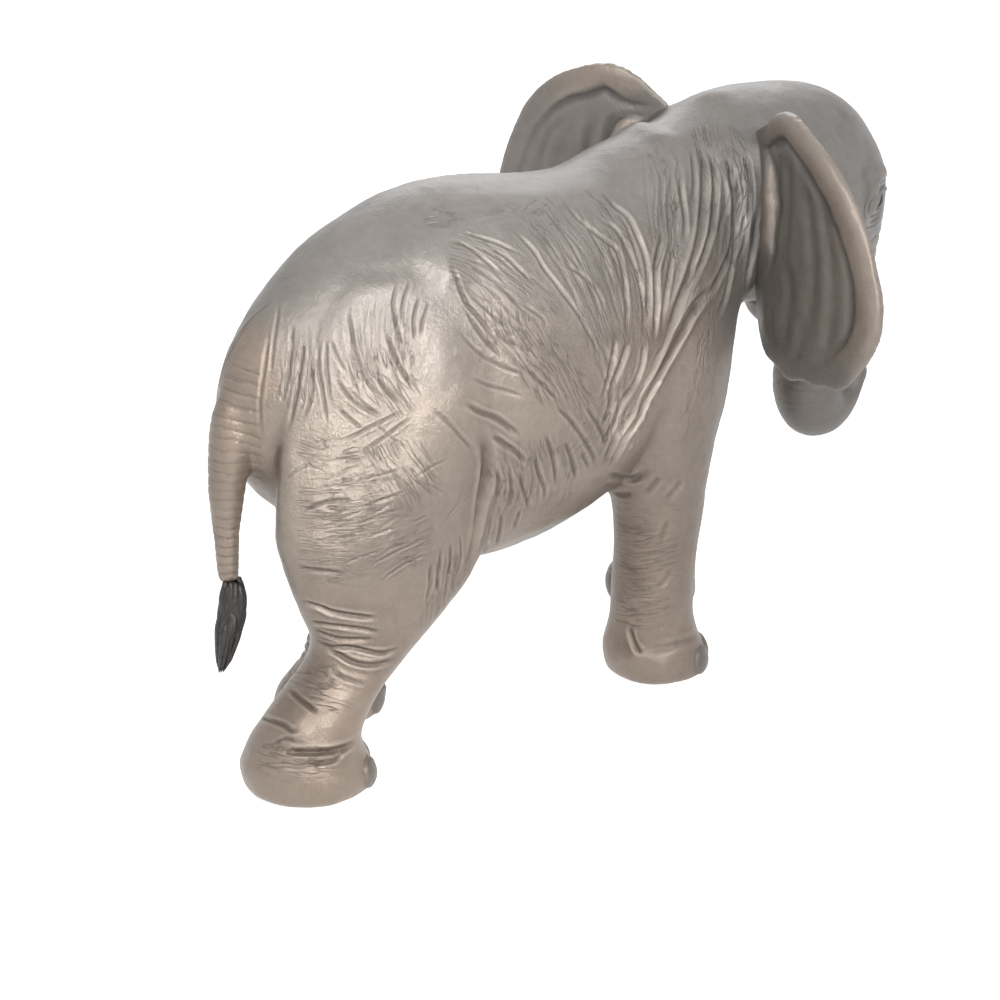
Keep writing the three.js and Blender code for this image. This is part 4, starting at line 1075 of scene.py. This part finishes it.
def all_nails(points):
    legs = [name for name in SKIN_NODES if name.endswith("leg")]
    return np.max([nail_share(points, name) for name in legs], axis=0)


# Where the paint turns, as spans in millimetres
COOL_HIGH, COOL_FRONT = (62, 92), (8, 30)
WARM_LOW, WARM_BEFORE = (16, 52), (20, 36)
WARM_TAIL, TAIL_HALF = (-69, -64), (5, 8)


def zones(points, normals):
    """Where the paint turns blue-grey (up high) and where it turns brown (low, and on the tail)."""
    x, y, z = points.T / MM
    sway = noise(points, 14 * MM, 41) * 0.5 + noise(points, 5 * MM, 42) * 0.3
    cool = ramp(z + 9 * sway + 6 * normals[:, 2], *COOL_HIGH) * 0.8
    cool = np.maximum(cool, ramp(x + 6 * sway, *COOL_FRONT) * 0.9)
    low = 1 - ramp(z + 8 * sway + 5 * normals[:, 2], *WARM_LOW)
    tail = (1 - ramp(x + 2 * sway, *WARM_TAIL)) * (1 - ramp(np.abs(y), *TAIL_HALF))
    warm = np.maximum(low * (1 - 0.75 * ramp(x, *WARM_BEFORE)), tail)
    return np.clip(cool, 0, 1), np.clip(warm, 0, 1)


SHADE_DEPTH_SCALES = [(4, 0.12 * MM), (16, 0.44 * MM)]  # rounds of averaging, and the depth that is full painted shade


def shade_and_highlight_by_depth(surface):
    """Painted shade in creases and painted highlight on ridges, by a point's depth under its surroundings.
    """
    normals = surface.normals()
    depth = 0.0
    for rounds, full in SHADE_DEPTH_SCALES:
        off = surface.averaged(surface.points, rounds) - surface.points
        depth = depth + (off * normals).sum(axis=1) / full
    return np.clip(depth, 0, 1), np.clip(-depth, 0, 1)


def split_skin(skin, grid, fields, normals, attributes, material):
    """The skin as one piece for each CAD node; the pieces share their rims."""
    centres = skin.points[skin.quads].mean(axis=1)
    names = list(fields)
    values = np.stack([grid.sample(fields[name], centres) for name in names], axis=1)
    owner = values.argmin(axis=1)
    for number, name in enumerate(names):
        faces = skin.quads[owner == number]
        if not len(faces):
            continue
        used, flat = np.unique(faces, return_inverse=True)
        faces = flat.reshape(-1, 4)
        points, own = skin.points[used], normals[used]
        shown = {key: value[used] for key, value in attributes.items()}
        piece = make_mesh(f"{name}_skin", points, faces, own, shown, material)
        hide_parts(name)
        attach(piece, "root")


# Ears

EAR_VOXEL = 0.42 * MM
EAR_SWELL = 0.2 * MM
EAR_BLUR = 0.45 * MM
EAR_ACROSS = 0.7  # share of a width across the figure that is left in the photograph's view
RIM_WIDTH = 4.3 * MM  # of the rolled rim, in that view
RIM_HEIGHT = 1.1 * MM
EAR_FREE = 6.0 * MM  # from the root to where the rolled rim starts
EDGE_BATCH = 4000  # points handled at once
GUTTER_DEPTH = 0.35 * MM
SCALLOP = 0.6 * MM  # of the lower edge
EAR_UNEVENNESS = [(0.14, 5.0, 53), (0.05, 2.0, 54)]
EAR_FRONT = np.array([5.0, 0.0, 0.0]) * MM  # from a line on the ear's back to just before its front
EAR_FOLDS = [  # pixels, half width, depth in millimetres; a negative depth is a ridge
    ([(775, 140), (771, 165), (769, 195), (770, 230), (766, 262)], 2.0, -1.0),
    ([(787, 150), (788, 190), (786, 235), (780, 275)], 1.8, 0.5),
    ([(799, 165), (808, 205), (814, 255), (810, 310), (802, 360)], 1.8, 0.35),
    ([(815, 190), (826, 235), (832, 280), (830, 330), (820, 375)], 1.7, 0.3),
    ([(783, 250), (790, 290), (786, 330), (782, 358)], 1.8, 0.3),
    ([(797, 300), (800, 335), (796, 368)], 1.6, 0.2),
    ([(770, 300), (772, 330), (779, 352)], 1.6, 0.2),
    ([(806, 170), (820, 200), (828, 240)], 1.0, 0.15),
]


def crossings(flat):
    """Points, counted in cells, where a flat field passes through zero."""
    made = []
    for axis in (0, 1):
        low = np.take(flat, range(flat.shape[axis] - 1), axis)
        high = np.take(flat, range(1, flat.shape[axis]), axis)
        at = np.argwhere((low < 0) != (high < 0))
        a, b = low[tuple(at.T)], high[tuple(at.T)]
        at = at.astype(float)
        at[:, axis] += a / (a - b)
        made.append(at)
    return np.concatenate(made)


def edge_distance(grid, field, points, root):
    """Distance from the ear's free edge, seen along the figure and narrowed as the camera narrows it."""
    scale = np.array([EAR_ACROSS, 1.0])
    rims = (crossings(field.min(axis=0)) + grid.first[1:]) * grid.voxel
    rims = rims[np.abs(rims[:, 0]) > abs(root) + EAR_FREE] * scale
    flat = points[:, 1:] * scale
    made = np.empty(len(flat))
    for start in range(0, len(flat), EDGE_BATCH):
        part = slice(start, start + EDGE_BATCH)
        made[part] = np.sqrt(((flat[part, None] - rims) ** 2).sum(axis=2).min(axis=1))
    return made


def make_ear(name, material, lines=None):
    """One ear; returns the lines of its folds, which the left ear takes over from the right one."""
    grid = Grid([name], EAR_VOXEL)
    field = grid.distances(name)
    ear = grid.surface(smooth(field, EAR_BLUR, EAR_VOXEL) - EAR_SWELL)
    ear.points = ear.averaged(ear.points, 3)
    normals = ear.normals()
    side = -1.0 if name.startswith("right") else 1.0
    low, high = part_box(name)
    root = low.y if side > 0 else high.y
    out = (ear.points[:, 1] - root) * side / (high.y - low.y)
    up = (ear.points[:, 2] - low.z) / (high.z - low.z)
    edge = ear.averaged(edge_distance(grid, field, ear.points, root), 2)
    back = ramp(ear.averaged(-normals[:, 0], 2), -0.35, 0.15)
    rolled = ramp(up + 0.45 * out, 0.42, 0.72) * ramp(out, 0.1, 0.3)
    if side > 0:
        rolled = rolled * (1 - 0.8 * ramp(out, 0.4, 0.75))
    wander = 1 + 0.16 * noise(ear.points, 9 * MM, 51) + 0.05 * noise(ear.points, 3 * MM, 52)
    near = edge / (RIM_WIDTH * wander)
    roll = np.sqrt(np.clip(1 - (1.9 * near - 0.9) ** 2, 0, 1))
    gutter = np.exp(-((near - 1.12) / 0.16) ** 2)
    way = normals[normals[:, 0] < -0.5].mean(axis=0)
    way /= np.linalg.norm(way)
    ear.points = ear.points + way * (back * rolled * (RIM_HEIGHT * roll - GUTTER_DEPTH * gutter))[:, None]
    carving = Carving(ear)
    if lines is None:
        lines = [carving.path(pixels)[0] for pixels, _, _ in EAR_FOLDS]
    else:
        lines = [line * [1, -1, 1] for line in lines]
    for line, (_, width, depth) in zip(lines, EAR_FOLDS):
        carving.stroke(*carving.snapped(line), width * MM, depth * MM, lip=0.2)
        carving.stroke(*carving.snapped(line + EAR_FRONT), 1.2 * width * MM, -0.7 * depth * MM, lip=0.2)
    carve_texture(carving, EAR_UNEVENNESS)
    carving.apply()
    wave = 0.6 * np.sin(out * 21 + 0.9) + 0.4 * np.sin(out * 37) + 0.8
    ear.points[:, 2] += SCALLOP * wave * (1 - ramp(up, 0.02, 0.3)) * fall(edge, (0.5, 5.0))
    keep_in_box(ear)
    normals = ear.normals()
    painted_shade, ridge = shade_and_highlight_by_depth(ear)
    cool, warm = zones(ear.points, normals)
    rim = rolled * back * (1 - ramp(near, 0.75, 1.0))
    none = np.zeros(len(cool))
    # Painted light on the ear: painted shade in its creases and in the gutter inside the rolled rim, and
    # its whole back a little darker; painted highlight on its ridges and on the rolled rim, which is also
    # painted warmer and kept from the blue-grey
    attributes = {
        "painted_shade": np.clip(0.6 * painted_shade + 0.2 * back * (1 - rim) + 0.5 * back * rolled * gutter, 0, 1),
        "ridge": np.clip(ridge + 0.5 * rim, 0, 1),
        "cool": cool * (1 - rim), "warm": np.clip(0.25 * rim + 0.15, 0, 1), "nail": none,
        "across": none, "along": none, "strands": none,
    }
    piece = make_mesh(f"{name}_sheet", ear.points, ear.quads, normals, attributes, material)
    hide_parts(name)
    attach(piece, "root")
    return lines


def keep_in_box(surface):
    """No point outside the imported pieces' overall box."""
    low, high = (np.array(corner) for corner in CAD_BOX)
    surface.points = np.clip(surface.points, low + 0.01 * MM, high - 0.01 * MM)


# Tail tuft: a core and locks of hair laid over it

TUFT_SEED = 5
TUFT_PIN = 3.0 * MM  # length of the pin above the hair
TUFT_LEVELS = 9
TUFT_LEVEL_REACH = 1.4 * MM
CORE_LOCKS, OUTER_LOCKS, HIGH_LOCKS = 8, 30, 12  # the high ones of the outer locks start at the top
CORE_SPREAD = 0.42  # share of the tuft's half width
CORE_THICKNESS = 1.5 * MM
LOCK_SIDES, LOCK_RINGS = 7, 12
LOCK_TIP = 0.03 * MM
GOLDEN_SHARE = 0.618  # of a turn from one lock to the next


class Tuft:
    """Locks of hair within the outline of the CAD tuft."""

    def __init__(self):
        points, _ = mesh_arrays(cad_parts["tail_tuft"])
        self.low, self.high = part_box("tail_tuft")
        self.top = self.high.z - TUFT_PIN
        rows = []
        for z in np.linspace(self.top, self.low.z, TUFT_LEVELS):
            x, y, _ = points[np.abs(points[:, 2] - z) < TUFT_LEVEL_REACH].T
            rows.append([x.min() / 2 + x.max() / 2, np.ptp(x) / 2, np.ptp(y) / 2])
        self.rows = np.array(rows)
        self.points, self.faces = [], []

    def at(self, share):
        """Middle along x, and half widths along x and y, at a share of the way down."""
        shares = np.linspace(0, 1, TUFT_LEVELS)
        return (np.interp(share, shares, self.rows[:, c]) for c in range(3))

    def lock(self, start, end, turn, spread, thick, drift):
        first = len(self.points)
        for k in range(LOCK_RINGS + 1):
            t = k / LOCK_RINGS
            share = start + (end - start) * t
            z = self.top + (self.low.z - self.top) * share
            middle_x, half_x, half_y = self.at(share)
            a = turn + drift * t
            out = spread * (1 - 0.15 * t)
            centre = Vector((middle_x + math.cos(a) * half_x * out, math.sin(a) * half_y * out, z))
            fat = thick * math.sin(math.pi * min(0.5, 0.12 + t * 1.2)) * (1 - t) ** 0.55 + LOCK_TIP
            for s in range(LOCK_SIDES):
                b = 2 * math.pi * s / LOCK_SIDES
                self.points.append(centre + Vector((math.cos(b) * fat, math.sin(b) * fat, 0)))
        for k in range(LOCK_RINGS):
            for s in range(LOCK_SIDES):
                n = (s + 1) % LOCK_SIDES
                q = first + k * LOCK_SIDES
                self.faces.append((q + s, q + LOCK_SIDES + s, q + LOCK_SIDES + n, q + n))
        last = first + LOCK_RINGS * LOCK_SIDES
        self.faces.append(tuple(first + s for s in range(LOCK_SIDES)))
        self.faces.append(tuple(last + s for s in reversed(range(LOCK_SIDES))))


def make_tuft(material):
    tuft = Tuft()
    dice = random.Random(TUFT_SEED)
    for k in range(CORE_LOCKS):
        end, turn = dice.uniform(0.9, 1.0), 2 * math.pi * k / CORE_LOCKS
        tuft.lock(-0.02, end, turn, CORE_SPREAD, CORE_THICKNESS, dice.uniform(-0.3, 0.3))
    for k in range(OUTER_LOCKS):
        start = dice.uniform(-0.06, 0.0) if k < HIGH_LOCKS else dice.uniform(0.05, 0.42)
        end = min(1.0, start + dice.uniform(0.5, 0.75))
        turn = 2 * math.pi * (k * GOLDEN_SHARE % 1)
        spread, thick = dice.uniform(0.6, 0.74), dice.uniform(0.75, 1.05) * MM
        tuft.lock(start, end, turn, spread, thick, dice.uniform(-0.7, 0.7))
    points = np.array([tuple(p) for p in tuft.points])
    points[:, 2] = np.clip(points[:, 2], tuft.low.z, tuft.high.z)
    piece = make_mesh("tail_tuft_hair", points, tuft.faces, None, None, material)
    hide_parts("tail_tuft")
    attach(piece, "root")


def make_eye(name, material):
    low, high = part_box(name)
    bpy.ops.mesh.primitive_uv_sphere_add(
        segments=48, ring_count=24, radius=(high.z - low.z) / 2, location=(low + high) / 2)
    piece = bpy.context.object
    piece.name = f"{name}_bead"
    bpy.ops.object.shade_smooth()
    piece.data.materials.append(material)
    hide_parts(name)
    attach(piece, "root")


# Materials

class Nodes:
    """Short calls for a material's node tree."""

    def __init__(self, name):
        self.material = bpy.data.materials.new(name)
        self.material.use_nodes = True
        self.tree = self.material.node_tree
        self.shader = self.tree.nodes["Principled BSDF"]

    def link(self, source, target):
        self.tree.links.new(source, target)

    def put(self, socket, value):
        if hasattr(value, "is_output"):
            self.link(value, socket)
        else:
            socket.default_value = value

    def place(self):
        return self.tree.nodes.new("ShaderNodeTexCoord").outputs["Object"]

    def attribute(self, name):
        node = self.tree.nodes.new("ShaderNodeAttribute")
        node.attribute_name = name
        return node.outputs["Fac"]

    def noise(self, size, detail=4.0, rough=0.6):
        node = self.tree.nodes.new("ShaderNodeTexNoise")
        node.inputs["Scale"].default_value = 1 / size
        node.inputs["Detail"].default_value = detail
        node.inputs["Roughness"].default_value = rough
        self.link(self.place(), node.inputs["Vector"])
        return node.outputs["Fac"]

    def cells(self, size):
        node = self.tree.nodes.new("ShaderNodeTexVoronoi")
        node.feature = "DISTANCE_TO_EDGE"
        node.inputs["Scale"].default_value = 1 / size
        self.link(self.place(), node.inputs["Vector"])
        return node.outputs["Distance"]

    def lines(self, apart, length, thin):
        """Fine lines along the folds, from 0 between them to 1."""
        at = self.tree.nodes.new("ShaderNodeCombineXYZ")
        self.link(self.math("DIVIDE", self.attribute("across"), apart), at.inputs["X"])
        self.link(self.math("DIVIDE", self.attribute("along"), length), at.inputs["Y"])
        node = self.tree.nodes.new("ShaderNodeTexNoise")
        node.inputs["Scale"].default_value = 1.0
        node.inputs["Detail"].default_value = 2.0
        self.link(at.outputs["Vector"], node.inputs["Vector"])
        off = self.math("ABSOLUTE", self.math("SUBTRACT", node.outputs["Fac"], 0.5))
        return self.math("MULTIPLY", self.span(off, 0.0, thin, 1.0, 0.0), self.attribute("strands"))

    def math(self, operation, *values):
        node = self.tree.nodes.new("ShaderNodeMath")
        node.operation = operation
        for socket, value in zip(node.inputs, values):
            self.put(socket, value)
        return node.outputs["Value"]

    def span(self, value, low, high, out_low=0.0, out_high=1.0):
        node = self.tree.nodes.new("ShaderNodeMapRange")
        node.clamp = True
        names = ("Value", "From Min", "From Max", "To Min", "To Max")
        for name, item in zip(names, (value, low, high, out_low, out_high)):
            self.put(node.inputs[name], item)
        return node.outputs["Result"]

    def mixed(self, share, first, second, blend="MIX"):
        node = self.tree.nodes.new("ShaderNodeMix")
        node.data_type, node.blend_type = "RGBA", blend
        self.put(node.inputs["Factor"], share)
        for key, value in (("A", first), ("B", second)):
            socket = next(s for s in node.inputs if s.name == key and s.type == "RGBA")
            self.put(socket, value if hasattr(value, "is_output") else (*value, 1.0))
        return next(s for s in node.outputs if s.type == "RGBA")

    def bump(self, height, distance, strength=1.0, under=None):
        node = self.tree.nodes.new("ShaderNodeBump")
        node.inputs["Distance"].default_value = distance
        node.inputs["Strength"].default_value = strength
        self.link(height, node.inputs["Height"])
        if under:
            self.link(under, node.inputs["Normal"])
        return node.outputs["Normal"]


def paint():
    n = Nodes("painted_skin")
    base = n.mixed(n.attribute("cool"), TAUPE, BLUE_GREY)
    base = n.mixed(n.attribute("warm"), base, BROWN)
    broad = n.span(n.noise(MOTTLE_SIZE, 3.0), 0.35, 0.65, -1.0, 1.0)
    fine = n.span(n.noise(GRAIN_SIZE, 5.0, 0.7), 0.3, 0.7, -1.0, 1.0)
    light = n.math("ADD", n.math("MULTIPLY", broad, UNEVEN_LIGHT), n.math("MULTIPLY", fine, UNEVEN_LIGHT))
    base = n.mixed(1.0, base, n.math("ADD", light, 1.0), "MULTIPLY")
    # Painted highlight: ridges and the ear's rolled rim are mixed towards the pale colour
    base = n.mixed(n.math("MULTIPLY", n.attribute("ridge"), RIDGE_HIGHLIGHT_COVER), base, PALE)
    specks = n.span(n.noise(SPECK_SIZE, 2.0, 0.5), 0.68, 0.76)
    base = n.mixed(n.math("MULTIPLY", specks, SPECK_COVER), base, PALE)
    patches = n.span(n.noise(7 * MM), 0.35, 0.6, 0.25, 1.0)
    lines = n.math("MULTIPLY", n.lines(LINES_APART, LINE_LENGTH, 0.05), patches)
    # Painted shade: creases, the ear's gutter and back, and the lower front legs are mixed towards the
    # crease colour
    base = n.mixed(n.math("MULTIPLY", n.attribute("painted_shade"), SHADE_COVER), base, CREASE_SHADE)
    # Painted shade along the fine lines of the folds, mixed towards the crease colour
    base = n.mixed(n.math("MULTIPLY", lines, LINE_SHADE_COVER), base, CREASE_SHADE)
    base = n.mixed(n.math("MULTIPLY", n.attribute("nail"), NAIL_COVER), base, NAIL)
    n.link(base, n.shader.inputs["Base Color"])
    gloss = n.span(n.noise(5 * MM, 4.0), 0.3, 0.7, *ROUGHNESS)
    gloss = n.math("ADD", gloss, n.math("MULTIPLY", n.attribute("painted_shade"), 0.12))
    n.link(gloss, n.shader.inputs["Roughness"])
    n.shader.inputs["Metallic"].default_value = METALLIC
    grain = n.bump(n.noise(0.6 * MM, 4.0, 0.65), 0.13 * MM)
    pores = n.span(n.cells(0.9 * MM), 0.0, 0.2)
    grain = n.bump(pores, 0.02 * MM, 0.5, grain)
    n.link(n.bump(n.math("SUBTRACT", 1.0, lines), 0.10 * MM, 1.0, grain), n.shader.inputs["Normal"])
    return n.material


def tuft_paint():
    n = Nodes("tuft_black")
    base = n.mixed(n.span(n.noise(1.2 * MM, 4.0), 0.35, 0.7), TUFT_DARK, TUFT_LIGHT)
    n.link(base, n.shader.inputs["Base Color"])
    n.link(n.span(n.noise(0.8 * MM, 3.0), 0.3, 0.7, 0.28, 0.5), n.shader.inputs["Roughness"])
    n.link(n.bump(n.noise(0.4 * MM, 4.0), 0.06 * MM), n.shader.inputs["Normal"])
    return n.material


def eye_gloss():
    n = Nodes("eye_gloss")
    base = n.mixed(n.span(n.noise(0.9 * MM, 3.0), 0.35, 0.7), EYE_DARK, EYE_LIGHT)
    n.link(base, n.shader.inputs["Base Color"])
    n.link(n.span(n.noise(1.5 * MM, 2.0), 0.3, 0.7, 0.05, 0.12), n.shader.inputs["Roughness"])
    return n.material


def background_rays(tree):
    """1 for a ray that shows the background: from the camera, a reflection or clear material."""
    path = tree.nodes.new("ShaderNodeLightPath")
    seen = path.outputs["Is Camera Ray"]
    for name in ("Is Glossy Ray", "Is Transmission Ray"):
        larger = tree.nodes.new("ShaderNodeMath")
        larger.operation = "MAXIMUM"
        tree.links.new(seen, larger.inputs[0])
        tree.links.new(path.outputs[name], larger.inputs[1])
        seen = larger.outputs["Value"]
    return seen


def floor_white():
    """Pale floor that looks white as background and keeps the shadow."""
    n = Nodes("floor")
    n.shader.inputs["Base Color"].default_value = (FLOOR_GREY, FLOOR_GREY, FLOOR_GREY, 1)
    n.shader.inputs["Roughness"].default_value = 0.9
    n.shader.inputs["Specular IOR Level"].default_value = 0.1
    seen = background_rays(n.tree)
    n.shader.inputs["Emission Color"].default_value = (1, 1, 1, 1)
    n.link(n.math("MULTIPLY", seen, FLOOR_GLOW), n.shader.inputs["Emission Strength"])
    return n.material


def light_world():
    world = bpy.data.worlds.new("world")
    bpy.context.scene.world = world
    world.use_nodes = True
    tree = world.node_tree
    ground = tree.nodes["Background"]
    ground.inputs["Color"].default_value = (1, 1, 1, 1)
    level = tree.nodes.new("ShaderNodeMapRange")
    tree.links.new(background_rays(tree), level.inputs["Value"])
    level.inputs["To Min"].default_value = WORLD_LIGHT
    level.inputs["To Max"].default_value = 1.0
    tree.links.new(level.outputs["Result"], ground.inputs["Strength"])


def make_floor():
    bpy.ops.mesh.primitive_plane_add(size=FLOOR_SIDE)
    floor = bpy.context.object
    floor.name = "floor"
    floor.data.materials.append(floor_white())


SHADED_LEG_BACK, SHADED_LEG_TOP = (-2.0, 14.0), (48.0, 66.0)  # fades of the painted shade on the front legs
LEG_SHADE = 0.42


def main():
    make_camera()
    skin_paint = paint()
    grid, fields, skin = make_skin()
    sides = Sides()
    carving = Carving(skin)
    carve_swells(carving, sides)
    carve_folds(carving, sides)
    carve_fans(carving, sides)
    flow = Flow(carving, sides)
    carve_texture(carving, UNEVENNESS)
    carve_rings(carving, TRUNK_LINE, **TRUNK_RINGS)
    carve_rings(carving, TAIL_LINE, **TAIL_RINGS)
    carve_mouth(carving, grid, fields)
    carve_head(carving, sides)
    carve_eyes(carving)
    nails = all_nails(carving.points)
    carving.height = carving.height * (1 - 0.8 * nails) + NAIL_HEIGHT * nails
    carving.apply()
    keep_in_box(skin)
    normals = skin.normals()
    # Painted shade in the skin's creases and painted highlight on its ridges, from its depth under its
    # surroundings
    painted_shade, ridge = shade_and_highlight_by_depth(skin)
    x, _, z = skin.points.T
    # Painted shade: the front legs are painted darker below about 48 mm
    painted_shade = np.clip(painted_shade + LEG_SHADE * rise(x, SHADED_LEG_BACK) * fall(z, SHADED_LEG_TOP), 0, 1)
    cool, warm = zones(skin.points, normals)
    attributes = {
        "painted_shade": painted_shade, "ridge": ridge, "cool": cool, "warm": warm, "nail": nails,
        "across": flow.across, "along": flow.along, "strands": flow.strength * (1 - nails),
    }
    split_skin(skin, grid, fields, normals, attributes, skin_paint)
    make_ear("left_ear", skin_paint, make_ear("right_ear", skin_paint))
    make_tuft(tuft_paint())
    gloss = eye_gloss()
    for name in ("right_eye", "left_eye"):
        make_eye(name, gloss)
    make_floor()
    for lamp in LAMPS:
        area_light(*lamp)
    light_world()
    bpy.context.scene.view_settings.view_transform = "Standard"


main()
